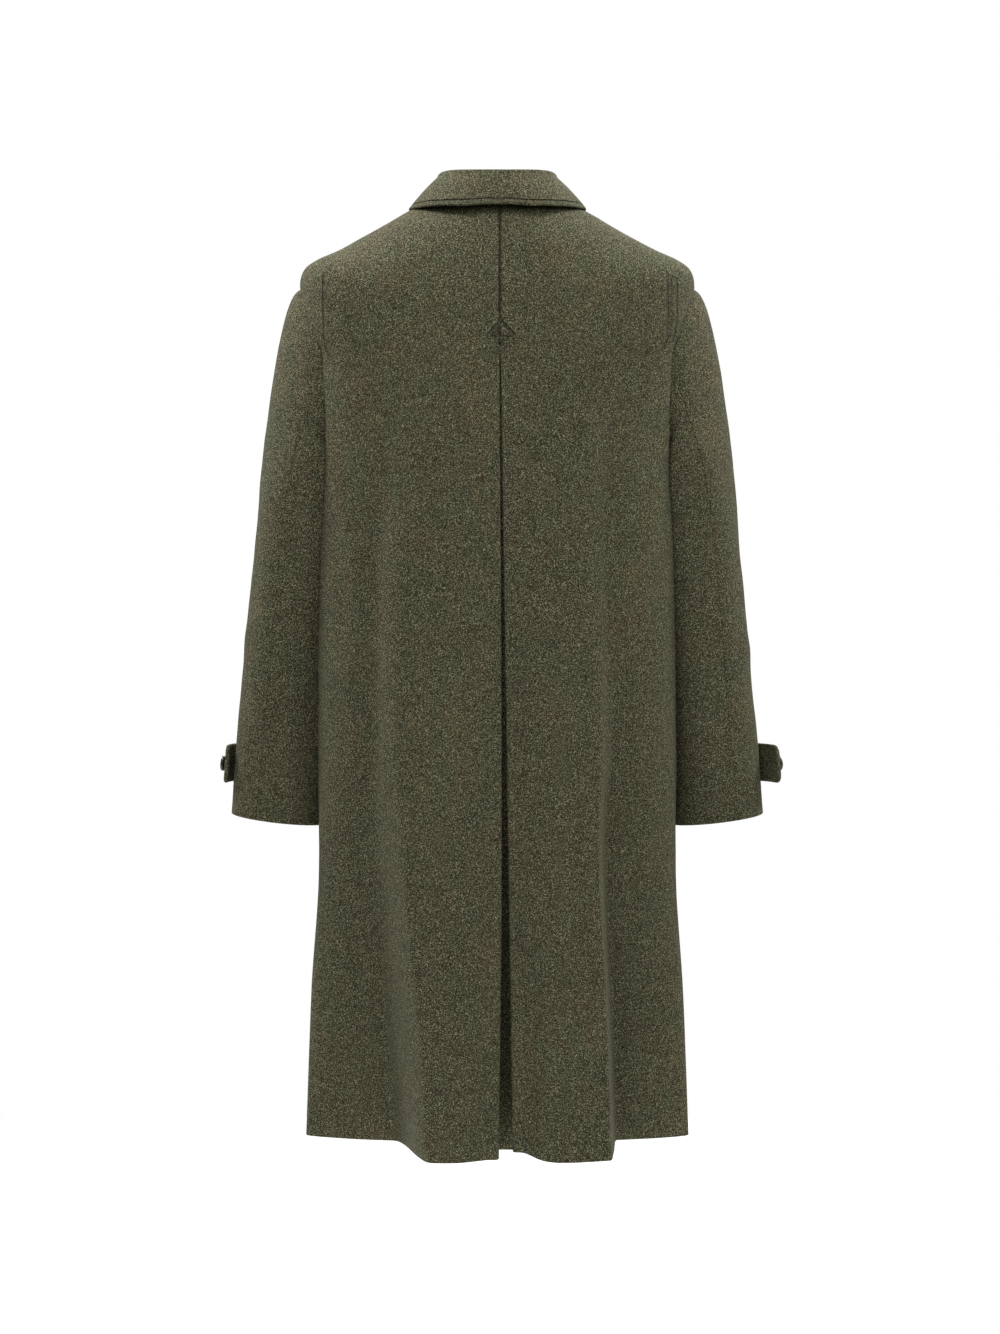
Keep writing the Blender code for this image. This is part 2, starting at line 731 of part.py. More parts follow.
def sleeve_point(z, degrees):
    """A point of the lower sleeve's outer face and the way out from it."""
    angle = math.radians(degrees)
    wide = blend(SECTIONS, z, "wide")
    deep = blend(SECTIONS, z, "deep")
    x = wide * math.cos(angle)
    y = deep * math.sin(angle)
    outward = Vector((math.cos(angle) / wide, math.sin(angle) / deep, 0)).normalized()
    middle = Vector((blend(SECTIONS, z, "mid_x"), blend(SECTIONS, z, "mid_y"), z))
    return middle + Vector((x, y, SLEEVE_TILT_X * x + SLEEVE_TILT_Y * y)), outward


def tab_point(hand, share, level):
    """A point of a cuff tab's outer face; share runs to its point, level across it."""
    narrow = max(share - TAB_POINT, 0.0) / (1.0 - TAB_POINT)
    half = TAB_HALF_HEIGHT * (1.0 - TAB_NARROWING * narrow**2)
    degrees = TAB_START + (TAB_FINISH - TAB_START) * share
    point, outward = sleeve_point(TAB_MIDDLE + half * level, degrees)
    lift = TAB_LIFTS[hand] * soft_step((share - TAB_LIFT_FROM) / TAB_LIFT_OVER)
    return point + outward * (TAB_CLOTH + TAB_OFF + lift)


def cuff_tab(hand, name, collection):
    """The pointed strap at a wrist and its button."""
    shares = [step / TAB_COLUMNS for step in range(TAB_COLUMNS + 1)]
    rows = [[tab_point(hand, share, level) for share in shares] for level in TAB_ROWS]
    inner = thicken(rows, grid_normals(rows), -TAB_CLOTH)
    loft("cuff_tab_" + name, rows, inner, loden(), collection, hand < 0)
    share = (CUFF_BUTTON_ANGLE - TAB_START) / (TAB_FINISH - TAB_START)
    step = 1.0 / TAB_COLUMNS
    place = tab_point(hand, share, 0.0)
    along = tab_point(hand, share + step, 0.0) - tab_point(hand, share - step, 0.0)
    down = tab_point(hand, share, -TAB_LOOK) - tab_point(hand, share, TAB_LOOK)
    outward = down.cross(along).normalized()
    for vector in (place, outward):
        vector.x *= hand
    size = (CUFF_BUTTON_RADIUS, CUFF_BUTTON_THICKNESS)
    button("cuff_button_" + name, size, place, outward, collection)


def button(name, size, place, outward, collection):
    """A turned button with a rounded rim and a dished face, seated on the cloth."""
    radius, thickness = size
    mesh = bpy.data.meshes.new(name)
    points = [(across * radius * MM, 0, up * thickness * MM) for across, up in BUTTON_PROFILE]
    mesh.from_pydata(points, [(i, i + 1) for i in range(len(points) - 1)], [])
    mesh.materials.append(horn())
    piece = bpy.data.objects.new(name, mesh)
    collection.objects.link(piece)
    turned = piece.modifiers.new("Turned", "SCREW")
    turned.axis = "Z"
    turned.steps = BUTTON_STEPS
    turned.render_steps = BUTTON_STEPS
    turned.use_merge_vertices = True
    turned.merge_threshold = BUTTON_MERGE * MM
    piece.location = (place + outward * BUTTON_OFF) * MM
    piece.rotation_mode = "QUATERNION"
    piece.rotation_quaternion = outward.to_track_quat("Z", "Y")


def front_buttons(collection):
    """Buttons down the centre front, on the left front's face."""
    for number, side in enumerate(FRONT_BUTTON_LINES, start=1):
        place = body_point(side, math.pi, 1)
        above = body_point(side + NORMAL_STEP, math.pi, 1)
        below = body_point(side - NORMAL_STEP, math.pi, 1)
        down = below - above
        outward = Vector((0, down.z, -down.y)).normalized()
        size = (FRONT_BUTTON_RADIUS, FRONT_BUTTON_THICKNESS)
        button(f"front_button_{number}", size, place, outward, collection)


def build():
    for item in list(bpy.data.objects):
        bpy.data.objects.remove(item, do_unlink=True)
    collection = bpy.data.collections.new("loden_coat")
    bpy.context.scene.collection.children.link(collection)
    for hand, name in ((1, "left"), (-1, "right")):
        half = Half(hand)
        half.panel(half.back, half.back_normals, "back_" + name, collection, end=True)
        half.panel(half.front, half.front_normals, "front_" + name, collection, start=True)
        sleeves(half, collection)
        cuff_tab(hand, name, collection)
    underlay(collection)
    collar(collection)
    front_buttons(collection)


build()
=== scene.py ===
# %% [markdown]
# # A loden coat
# The coat is shown filled out in its worn shape, with nobody in it. A frame of plain solids
# gives each cut piece its place and size. This lesson gives every piece its real cloth: a thin
# shell with soft creases, rolled edges, rows of stitches, horn buttons and a fulled wool finish.

# %% Load the frame
import math
from collections import namedtuple

import bpy
import numpy as np
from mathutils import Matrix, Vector, noise


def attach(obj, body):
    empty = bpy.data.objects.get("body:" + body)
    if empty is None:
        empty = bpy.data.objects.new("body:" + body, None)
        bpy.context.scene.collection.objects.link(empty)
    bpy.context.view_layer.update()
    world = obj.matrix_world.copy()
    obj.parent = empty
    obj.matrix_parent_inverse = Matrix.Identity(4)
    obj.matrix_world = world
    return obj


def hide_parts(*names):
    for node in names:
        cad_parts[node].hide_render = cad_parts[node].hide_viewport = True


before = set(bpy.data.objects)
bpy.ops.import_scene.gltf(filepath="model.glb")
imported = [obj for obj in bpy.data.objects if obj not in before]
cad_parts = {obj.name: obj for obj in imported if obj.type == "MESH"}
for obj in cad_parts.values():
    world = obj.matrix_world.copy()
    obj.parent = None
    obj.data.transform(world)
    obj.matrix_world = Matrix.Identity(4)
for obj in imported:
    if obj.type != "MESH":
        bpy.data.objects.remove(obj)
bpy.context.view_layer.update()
MM = 0.001
print("Sewn pieces in the frame:", len(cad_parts))

# %% [markdown]
# ## Camera, floor and light
# The camera stands level behind the coat at the height of its hips. A long lens keeps the
# outline free of steep perspective. Wool is dark and matt, so it needs broad light, yet light
# from everywhere would hide its folds. The white surrounding is therefore bright only for the
# camera. Two soft lamps beyond the shoulders edge the sleeves with light, and four larger ones
# above, behind, beside and in front of the coat fill in the rest.

# %% Camera
CAMERA_PLACE = (-0.0031, 3.0, -0.534)
CAMERA_TURN = (90, 0, 180)
LENS = 70.4
SENSOR = 36.0


def placed(name, data):
    """A new object in the scene."""
    item = bpy.data.objects.new(name, data)
    bpy.context.scene.collection.objects.link(item)
    return item


camera_data = bpy.data.cameras.new("studio_camera")
camera_data.lens = LENS
camera_data.sensor_width = SENSOR
camera = placed("studio_camera", camera_data)
camera.location = CAMERA_PLACE
camera.rotation_euler = [math.radians(degrees) for degrees in CAMERA_TURN]
bpy.context.scene.camera = camera
print("Lens:", LENS, "mm")

# %% Floor
FLOOR_HEIGHT = -1.5
FLOOR_HALF = 2.6
FLOOR_COLOUR = (0.93, 0.93, 0.92, 1)
FLOOR_ROUGHNESS = 0.9

floor_mesh = bpy.data.meshes.new("studio_floor")
corners = [(-1, -1), (1, -1), (1, 1), (-1, 1)]
floor_points = [(x * FLOOR_HALF, y * FLOOR_HALF, FLOOR_HEIGHT) for x, y in corners]
floor_mesh.from_pydata(floor_points, [], [(0, 1, 2, 3)])
floor = placed("studio_floor", floor_mesh)
floor_paint = bpy.data.materials.new("pale_floor")
floor_paint.use_nodes = True
floor_shader = floor_paint.node_tree.nodes["Principled BSDF"]
floor_shader.inputs["Base Color"].default_value = FLOOR_COLOUR
floor_shader.inputs["Roughness"].default_value = FLOOR_ROUGHNESS
floor_mesh.materials.append(floor_paint)
print("Floor at", FLOOR_HEIGHT, "m")

# %% The surrounding
WHITE = (1, 1, 1, 1)
SURROUND = 1.0
FILL_SHARE = 0.17


def new_node(tree, kind, inputs=None, **settings):
    """A node of one kind, with its settings and the values of its inputs."""
    node = tree.nodes.new(kind)
    for title, value in settings.items():
        setattr(node, title, value)
    for title, value in (inputs or {}).items():
        node.inputs[title].default_value = value
    return node


def link_nodes(tree, pairs):
    """Join (node, socket) to (node, socket) for each pair."""
    for (source, out), (target, into) in pairs:
        tree.links.new(source.outputs[out], target.inputs[into])


world = bpy.data.worlds.new("white_room")
bpy.context.scene.world = world
world.use_nodes = True
room = world.node_tree
surround = room.nodes["Background"]
surround.inputs["Color"].default_value = WHITE
surround.inputs["Strength"].default_value = SURROUND
dim = new_node(room, "ShaderNodeBackground", {"Color": WHITE, "Strength": FILL_SHARE})
seen = new_node(room, "ShaderNodeLightPath")
either = new_node(room, "ShaderNodeMixShader")
link_nodes(room, [
    ((seen, "Is Camera Ray"), (either, 0)),
    ((dim, 0), (either, 1)),
    ((surround, 0), (either, 2)),
    ((either, 0), (room.nodes["World Output"], "Surface")),
])
print("Share of the white room that lights the coat:", FILL_SHARE)

# %% Lamps
LAMP_TARGET = Vector((0, 0, -0.5))
Lamp = namedtuple("Lamp", "name place size power")
LAMPS = (
    Lamp("soft_lamp_left", (1.6, -0.5, 1.2), 1.0, 66),
    Lamp("soft_lamp_right", (-2.3, 1.4, 0.7), 1.1, 18),
    Lamp("soft_rim_right", (-1.6, -0.5, 1.2), 1.0, 52),
    Lamp("soft_lamp_over", (0.3, 1.1, 2.0), 1.5, 50),
    Lamp("soft_lamp_behind", (0.6, 3.2, 1.0), 2.2, 20),
    Lamp("soft_lamp_front", (-0.4, -3.0, 1.2), 2.4, 70),
)

for lamp in LAMPS:
    light = bpy.data.lights.new(lamp.name, "AREA")
    light.shape = "DISK"
    light.size = lamp.size
    light.energy = lamp.power
    holder = placed(lamp.name, light)
    holder.location = lamp.place
    aim = LAMP_TARGET - Vector(lamp.place)
    holder.rotation_euler = aim.to_track_quat("-Z", "Y").to_euler()
bpy.context.scene.view_settings.view_transform = "Standard"
print("Lamps:", len(LAMPS))

# %% [markdown]
# ## The wool's finish
# Loden is woven, then shrunk and brushed until the weave disappears under a short nap. Its
# colour is a melange: green, brown and grey fibres are mixed before spinning, so the cloth
# shows fine dark and light flecks, and soft patches a thumb wide where one colour gathers.
# Noise in object space does this at the true scale, whatever the shape of the piece. The
# colour and the nap are one node group, with its colours as inputs, so that a cloth of other
# fibres could use it too.

# %% Helpers for grain
Grain = namedtuple("Grain", "scale detail roughness")


def noise_node(tree, grain, waver=0.0):
    """A noise texture of one grain, with its scale in grains per metre."""
    return new_node(tree, "ShaderNodeTexNoise", {
        "Scale": grain.scale,
        "Detail": grain.detail,
        "Roughness": grain.roughness,
        "Distortion": waver,
    })


def step_node(tree, limits, results=(0.0, 1.0)):
    """A smooth step of a value between two limits, from one result to the other."""
    return new_node(tree, "ShaderNodeMapRange", {
        "From Min": limits[0],
        "From Max": limits[1],
        "To Min": results[0],
        "To Max": results[1],
    }, interpolation_type="SMOOTHSTEP")


def mix_node(tree, blend_type="MIX", inputs=None):
    """A colour mix."""
    return new_node(tree, "ShaderNodeMix", inputs, data_type="RGBA", blend_type=blend_type)


def new_group(name, kind, sockets):
    """A node group with its sockets, each given as a title, a direction and a kind."""
    group = bpy.data.node_groups.new(name, kind)
    for title, way, socket in sockets:
        group.interface.new_socket(title, in_out=way, socket_type="NodeSocket" + socket)
    return group, group.nodes.new("NodeGroupInput"), group.nodes.new("NodeGroupOutput")


print("Node helpers ready")

# %% The colours of the melange group
PATCHES = Grain(40.0, 3, 0.55)
PATCH_STRETCH = (1.0, 1.0, 0.45)
PATCH_LIMITS = (0.34, 0.66)
CLOUDS = Grain(11.0, 2, 0.5)
CLOUD_LIMITS = (0.3, 0.7)
CLOUD_SHADES = (0.86, 1.1)
DARK_FLECKS = Grain(840.0, 2, 0.6)
DARK_LIMITS = (0.53, 0.36)
LIGHT_FLECKS = Grain(940.0, 2, 0.6)
LIGHT_WAVER = 0.4
LIGHT_LIMITS = (0.5, 0.68)

melange, given, result = new_group("Wool melange", "ShaderNodeTree", [
    ("Place", "INPUT", "Vector"),
    ("Green", "INPUT", "Color"),
    ("Brown", "INPUT", "Color"),
    ("Dark fleck", "INPUT", "Color"),
    ("Light fleck", "INPUT", "Color"),
    ("Color", "OUTPUT", "Color"),
    ("Height", "OUTPUT", "Float"),
    ("Roughness", "OUTPUT", "Float"),
])
stretch = new_node(melange, "ShaderNodeMapping", {"Scale": PATCH_STRETCH})
patches = noise_node(melange, PATCHES)
patch_step = step_node(melange, PATCH_LIMITS)
base = mix_node(melange)
clouds = noise_node(melange, CLOUDS)
cloud_step = step_node(melange, CLOUD_LIMITS, CLOUD_SHADES)
shaded = mix_node(melange, "MULTIPLY", {"Factor": 1.0})
dark = noise_node(melange, DARK_FLECKS)
dark_step = step_node(melange, DARK_LIMITS)
darkened = mix_node(melange)
light = noise_node(melange, LIGHT_FLECKS, LIGHT_WAVER)
light_step = step_node(melange, LIGHT_LIMITS)
lightened = mix_node(melange)
link_nodes(melange, [
    ((given, "Place"), (stretch, "Vector")),
    ((stretch, "Vector"), (patches, "Vector")),
    ((given, "Place"), (clouds, "Vector")),
    ((given, "Place"), (dark, "Vector")),
    ((given, "Place"), (light, "Vector")),
    ((patches, "Fac"), (patch_step, "Value")),
    ((patch_step, "Result"), (base, "Factor")),
    ((given, "Green"), (base, "A")),
    ((given, "Brown"), (base, "B")),
    ((clouds, "Fac"), (cloud_step, "Value")),
    ((base, "Result"), (shaded, "A")),
    ((cloud_step, "Result"), (shaded, "B")),
    ((dark, "Fac"), (dark_step, "Value")),
    ((dark_step, "Result"), (darkened, "Factor")),
    ((shaded, "Result"), (darkened, "A")),
    ((given, "Dark fleck"), (darkened, "B")),
    ((light, "Fac"), (light_step, "Value")),
    ((light_step, "Result"), (lightened, "Factor")),
    ((darkened, "Result"), (lightened, "A")),
    ((given, "Light fleck"), (lightened, "B")),
    ((lightened, "Result"), (result, "Color")),
])
print("Nodes for the colours:", len(melange.nodes))

# %% The nap of the melange group
NAP = Grain(760.0, 3, 0.7)
NAP_SHARE = 0.45
FELT = Grain(170.0, 3, 0.6)
FELT_LIMITS = (0.3, 0.7)
FELT_ROUGHNESS = (0.82, 0.98)

nap = noise_node(melange, NAP)
felt = noise_node(melange, FELT)
nap_share = new_node(melange, "ShaderNodeMath", {1: NAP_SHARE}, operation="MULTIPLY_ADD")
rough_step = step_node(melange, FELT_LIMITS, FELT_ROUGHNESS)
link_nodes(melange, [
    ((given, "Place"), (nap, "Vector")),
    ((given, "Place"), (felt, "Vector")),
    ((nap, "Fac"), (nap_share, 0)),
    ((felt, "Fac"), (nap_share, 2)),
    ((nap_share, 0), (result, "Height")),
    ((felt, "Fac"), (rough_step, "Value")),
    ((rough_step, "Result"), (result, "Roughness")),
])
print("Nodes in the melange group:", len(melange.nodes))

# %% [markdown]
# A row of stitches pulls the cloth down along a narrow line. Each cloth piece stores, at every
# point, its signed distance in millimetres from the nearest row. The next group turns that
# distance into a dip for the bump, far finer than the mesh itself could show.

# %% The stitched dip group
DIP_LIMITS = (0.0, 2.4)

stitched_dip, dip_in, dip_out = new_group("Stitched dip", "ShaderNodeTree", [
    ("Distance", "INPUT", "Float"),
    ("Height", "OUTPUT", "Float"),
])
dip_size = new_node(stitched_dip, "ShaderNodeMath", operation="ABSOLUTE")
dip_step = step_node(stitched_dip, DIP_LIMITS)
link_nodes(stitched_dip, [
    ((dip_in, "Distance"), (dip_size, 0)),
    ((dip_size, 0), (dip_step, "Value")),
    ((dip_step, "Result"), (dip_out, "Height")),
])
print("A dip is", 2 * DIP_LIMITS[1], "mm wide")

# %% Loden material
GREEN = (0.032, 0.035, 0.018, 1)
BROWN = (0.045, 0.035, 0.018, 1)
DARK_FLECK = (0.006, 0.007, 0.004, 1)
LIGHT_FLECK = (0.290, 0.280, 0.172, 1)
CLOTH_SHINE = {
    "Sheen Weight": 0.02,
    "Sheen Roughness": 0.45,
    "Sheen Tint": (0.80, 0.82, 0.70, 1),
    "Specular IOR Level": 0.1,
}
NAP_BUMP = {"Strength": 0.55, "Distance": 0.0011}
DIP_BUMP = {"Strength": 1.0, "Distance": 0.0034}


def new_material(name):
    """A new material with its tree, its shader and a node for Object coordinates."""
    material = bpy.data.materials.new(name)
    material.use_nodes = True
    tree = material.node_tree
    return material, tree, tree.nodes["Principled BSDF"], new_node(tree, "ShaderNodeTexCoord")


loden, tree, shader, place = new_material("loden_wool")
for title, value in CLOTH_SHINE.items():
    shader.inputs[title].default_value = value
wool = new_node(tree, "ShaderNodeGroup", node_tree=melange)
fibres = {"Green": GREEN, "Brown": BROWN, "Dark fleck": DARK_FLECK, "Light fleck": LIGHT_FLECK}
for title, colour in fibres.items():
    wool.inputs[title].default_value = colour
row = new_node(tree, "ShaderNodeAttribute", attribute_name="stitch_row")
dip = new_node(tree, "ShaderNodeGroup", node_tree=stitched_dip)
nap_bump = new_node(tree, "ShaderNodeBump", NAP_BUMP)
dip_bump = new_node(tree, "ShaderNodeBump", DIP_BUMP)
link_nodes(tree, [
    ((place, "Object"), (wool, "Place")),
    ((wool, "Color"), (shader, "Base Color")),
    ((wool, "Roughness"), (shader, "Roughness")),
    ((wool, "Height"), (nap_bump, "Height")),
    ((row, "Fac"), (dip, "Distance")),
    ((dip, "Height"), (dip_bump, "Height")),
    ((nap_bump, "Normal"), (dip_bump, "Normal")),
    ((dip_bump, "Normal"), (shader, "Normal")),
])
print("Materials so far:", loden.name, floor_paint.name)

# %% [markdown]
# Thread and horn are small, so their finishes are simpler: a matt twisted thread a shade
# darker than the cloth, and dark horn with faint lighter streaks under a soft polish.

# %% Thread and horn materials
THREAD_DARK = (0.030, 0.029, 0.018, 1)
THREAD_LIGHT = (0.060, 0.056, 0.036, 1)
THREAD_GRAIN = Grain(900.0, 4, 0.65)
THREAD_ROUGHNESS = (0.6, 0.8)
HORN_DARK = (0.018, 0.012, 0.008, 1)
HORN_LIGHT = (0.095, 0.060, 0.032, 1)
HORN_GRAIN = Grain(140.0, 4, 0.65)
HORN_ROUGHNESS = (0.22, 0.4)
TONE_LIMITS = (0.35, 0.7)
GLOSS_LIMITS = (0.2, 0.8)
FINE_BUMP = {"Strength": 0.25, "Distance": 0.0004}


def two_tone(name, grain, tones, roughness):
    """A material whose colour wanders between two tones."""
    material, tree, shader, place = new_material(name)
    streaks = noise_node(tree, grain)
    step = step_node(tree, TONE_LIMITS)
    tone = mix_node(tree, inputs=dict(zip("AB", tones)))
    gloss = step_node(tree, GLOSS_LIMITS, roughness)
    bump = new_node(tree, "ShaderNodeBump", FINE_BUMP)
    link_nodes(tree, [
        ((place, "Object"), (streaks, "Vector")),
        ((streaks, "Fac"), (step, "Value")),
        ((step, "Result"), (tone, "Factor")),
        ((tone, "Result"), (shader, "Base Color")),
        ((streaks, "Fac"), (gloss, "Value")),
        ((gloss, "Result"), (shader, "Roughness")),
        ((streaks, "Fac"), (bump, "Height")),
        ((bump, "Normal"), (shader, "Normal")),
    ])
    return material


thread = two_tone("sewing_thread", THREAD_GRAIN, (THREAD_DARK, THREAD_LIGHT), THREAD_ROUGHNESS)
horn = two_tone("dark_horn", HORN_GRAIN, (HORN_DARK, HORN_LIGHT), HORN_ROUGHNESS)
print("Small finishes:", thread.name, horn.name)

# %% [markdown]
# ## The form of the coat
# A coat on a wearer is a stack of girths: at each height the cloth runs round in one smooth
# loop. The table below holds those loops in millimetres, from the neck seam down to the hem.
# A smooth curve through each column gives the loop at any height between. This is quicker to
# steer than a simulation, and every seam lands exactly where the frame has it.

# %% Girths of the body
Girth = namedtuple("Girth", "side back front wide deep fore square")
GIRTHS = (
    Girth(0, -8, -70, 76, 72, 78, 2.0),
    Girth(-13, -22, -78, 104, 84, 84, 2.05),
    Girth(-29, -40, -86, 131, 96, 90, 2.1),
    Girth(-45, -60, -96, 159, 106, 96, 2.2),
    Girth(-58, -80, -106, 183, 113, 103, 2.3),
    Girth(-69, -100, -118, 207, 119, 109, 2.45),
    Girth(-80, -118, -130, 221, 124, 114, 2.6),
    Girth(-98, -136, -144, 226, 127, 119, 2.6),
    Girth(-150, -176, -180, 221, 132, 127, 2.6),
    Girth(-181, -200, -202, 214, 134, 130, 2.6),
    Girth(-240, -246, -246, 210, 137, 133, 2.6),
    Girth(-300, -300, -300, 209, 140, 135, 2.6),
    Girth(-457, -457, -457, 206, 146, 138, 2.8),
    Girth(-600, -600, -600, 205, 149, 140, 3.0),
    Girth(-710, -711, -710, 204, 150, 142, 3.1),
    Girth(-800, -802, -800, 206, 150, 145, 3.0),
    Girth(-900, -903, -900, 213, 150, 148, 2.8),
    Girth(-1072, -1077, -1072, 220, 152, 150, 2.6),
)
Fold = namedtuple("Fold", "z start end share")
LEFT_FOLD = (
    Fold(-181, 92, 150, 0.0),
    Fold(-345, 96, 160, 0.05),
    Fold(-530, 104, 158, 0.13),
    Fold(-710, 100, 146, 0.32),
    Fold(-900, 86, 132, 0.62),
    Fold(-1072, 74, 119, 0.88),
)
RIGHT_FOLD = (
    Fold(-181, 96, 150, 0.0),
    Fold(-345, 104, 146, 0.04),
    Fold(-530, 112, 140, 0.1),
    Fold(-710, 110, 124, 0.3),
    Fold(-900, 117, 129, 0.6),
    Fold(-1072, 125, 137, 0.88),
)
FRONT_FOLD = (
    Fold(-181, 90, 140, 0.0),
    Fold(-345, 90, 140, 0.03),
    Fold(-530, 92, 138, 0.08),
    Fold(-710, 94, 136, 0.15),
    Fold(-900, 96, 136, 0.24),
    Fold(-1072, 98, 136, 0.32),
)
print("Girth lines:", len(GIRTHS))

# %% Smooth curves through a table
def blend(rows, at, name):
    """Smooth curve through one column of a table, read at one height or at many."""
    ordered = sorted(rows, key=lambda row: row[0])
    knots = np.array([row[0] for row in ordered], float)
    values = np.array([getattr(row, name) for row in ordered], float)
    last = len(ordered) - 1
    spots = np.arange(last + 1)
    before = np.maximum(spots - 1, 0)
    after = np.minimum(spots + 1, last)
    slopes = (values[after] - values[before]) / (knots[after] - knots[before])
    at = np.clip(at, knots[0], knots[last])
    index = np.clip(np.searchsorted(knots, at, side="right") - 1, 0, last - 1)
    span = knots[index + 1] - knots[index]
    share = (at - knots[index]) / span
    rise = values[index + 1] - values[index]
    start = slopes[index] * span
    end = slopes[index + 1] * span
    curve = start * share + (3 * rise - 2 * start - end) * share**2
    return values[index] + curve + (start + end - 2 * rise) * share**3


def soft_step(value):
    """0 below 0, 1 above 1 and smooth between."""
    value = np.clip(value, 0.0, 1.0)
    return value * value * (3.0 - 2.0 * value)


Ramp = namedtuple("Ramp", "start over")


def climb(value, ramp):
    """0 up to the start of a ramp, 1 past its length and smooth between."""
    return soft_step((value - ramp.start) / ramp.over)


def soft_min(first, second, width):
    """The smaller of two values, rounded where they cross."""
    near = np.maximum(width - np.abs(first - second), 0.0) / width
    return np.minimum(first, second) - near * near * width / 4.0


def unit(vectors):
    """Vectors of length one."""
    return vectors / np.maximum(np.linalg.norm(vectors, axis=-1, keepdims=True), 1e-9)


def walk(points):
    """Distance along a line of points, or along each row of a grid, from its first point."""
    steps = np.linalg.norm(np.diff(points, axis=-2), axis=-1)
    start = np.zeros(steps.shape[:-1] + (1,))
    return np.concatenate([start, np.cumsum(steps, axis=-1)], axis=-1)


print("Back length over the hem:", blend(GIRTHS, -1072.0, "back"), "mm")

# %% [markdown]
# The sleeves lie close beside the body, so the body's outline makes room for them. Each sleeve
# is a stack of oval sections that lean forward a little, as an arm does at rest.

# %% Sleeve sections and the body's outline
Section = namedtuple("Section", "z mid_x mid_y wide deep")
SECTIONS = (
    Section(-320, 210, -10, 62, 78),
    Section(-457, 227, -15, 59, 67),
    Section(-590, 241, -24, 58, 57),
    Section(-710, 255, -35, 54, 46),
)
SLEEVE_CLEARANCE = 4.6
SLEEVE_ROOM_START = -121.0
SLEEVE_ROOM_BLEND = 24.0
BESIDE_SLOPE = 3.0
CHEST_ROOM = 90.0
CHEST = Ramp(-235.0, 85.0)
HIP_ROOM = 60.0
HIP = Ramp(716.0, 130.0)


def sleeve_limit(y, z):
    """How far out the body may reach beside the sleeve."""
    at = np.clip(z, SECTIONS[-1].z, SECTIONS[0].z)
    wide = blend(SECTIONS, at, "wide")
    off = np.abs(y - blend(SECTIONS, at, "mid_y")) / blend(SECTIONS, at, "deep")
    limit = blend(SECTIONS, at, "mid_x") - wide * np.sqrt(np.maximum(0.0, 1.0 - off * off))
    limit = limit + np.maximum(0.0, off - 1.0) * BESIDE_SLOPE * wide
    limit = limit + CHEST_ROOM * climb(z, CHEST)
    limit = limit + HIP_ROOM * climb(-z, HIP)
    return limit - SLEEVE_CLEARANCE


def lost_depth(folds, side, x):
    """Share of the depth that is lost behind a fold's flank."""
    start = blend(folds, side, "start")
    end = blend(folds, side, "end")
    return blend(folds, side, "share") * soft_step((np.abs(x) - start) / (end - start))


def body_points(side, turn, hand):
    """Outer face of the body, in mm, as if on the left half: turn 0 is the centre back."""
    side, turn = np.broadcast_arrays(np.asarray(side, float), np.asarray(turn, float))
    across = np.sin(turn)
    along = np.cos(turn)
    power = 2.0 / blend(GIRTHS, side, "square")
    behind = along > 0
    reach = np.where(behind, blend(GIRTHS, side, "deep"), -blend(GIRTHS, side, "fore"))
    middle = np.where(behind, blend(GIRTHS, side, "back"), blend(GIRTHS, side, "front"))
    x = np.sign(across) * blend(GIRTHS, side, "wide") * np.abs(across) ** power
    y = reach * np.abs(along) ** power
    z = side + (middle - side) * along**2
    back_fold = LEFT_FOLD if hand > 0 else RIGHT_FOLD
    lost = np.where(behind, lost_depth(back_fold, side, x), lost_depth(FRONT_FOLD, side, x))
    y = y * (1.0 - lost)
    held = soft_min(x, sleeve_limit(y, z), SLEEVE_ROOM_BLEND)
    x = np.where(side < SLEEVE_ROOM_START, held, x)
    return np.stack([x, y, z], axis=-1)


def turn_at(x, side):
    """The turn at which a girth line passes a distance from the centre."""
    share = np.clip(x / blend(GIRTHS, side, "wide"), 0.0, 1.0)
    return np.arcsin(share ** (blend(GIRTHS, side, "square") / 2.0))


def side_turn(y, side, column):
    """The turn, up to a quarter, at which a girth line passes a depth towards its side."""
    share = np.clip(np.abs(y) / blend(GIRTHS, side, column), 0.0, 1.0)
    return np.arccos(share ** (blend(GIRTHS, side, "square") / 2.0))


WAIST = -600.0
WAIST_POINTS = 200
waist = body_points(WAIST, np.linspace(0, math.pi, WAIST_POINTS), 1)
print("Half the waist:", round(float(walk(waist)[-1])), "mm")

# %% [markdown]
# Each piece is a grid of points. Rows follow the girths, closer together over the shoulders.
# The armhole is an oval in the side view, and its rows step evenly round that oval, so that
# the sleeve can take its own first ring straight from the edges of the panels.

# %% Rows of the grid
ARMHOLE_TOP = -98.0
ARMHOLE_WIDEST = -181.0
UNDERARM = -300.0
ARMHOLE_BACK = 72.0
ARMHOLE_FORE = 85.0
HEM = -1072.0
SHOULDER_ROWS = 36
HOLE_STEPS = 60
SKIRT_ROWS = 172
FINE = 400

finely = np.linspace(0.0, ARMHOLE_TOP, FINE)
profile = np.stack([blend(GIRTHS, finely, "wide"), finely], axis=-1)
walked = walk(profile)
even_walk = np.linspace(0.0, walked[-1], SHOULDER_ROWS + 1)
shoulder_sides = np.interp(even_walk, walked, finely)[:-1]
thetas = np.linspace(0.0, math.pi, HOLE_STEPS + 1)
upper_hole = ARMHOLE_WIDEST + (ARMHOLE_TOP - ARMHOLE_WIDEST) * np.cos(thetas)
lower_hole = ARMHOLE_WIDEST + (ARMHOLE_WIDEST - UNDERARM) * np.cos(thetas)
hole_sides = np.where(thetas <= math.pi / 2, upper_hole, lower_hole)
skirt_sides = np.linspace(UNDERARM, HEM, SKIRT_ROWS + 1)[1:]
SIDES = np.concatenate([shoulder_sides, hole_sides, skirt_sides])
HOLE = slice(SHOULDER_ROWS, SHOULDER_ROWS + HOLE_STEPS + 1)
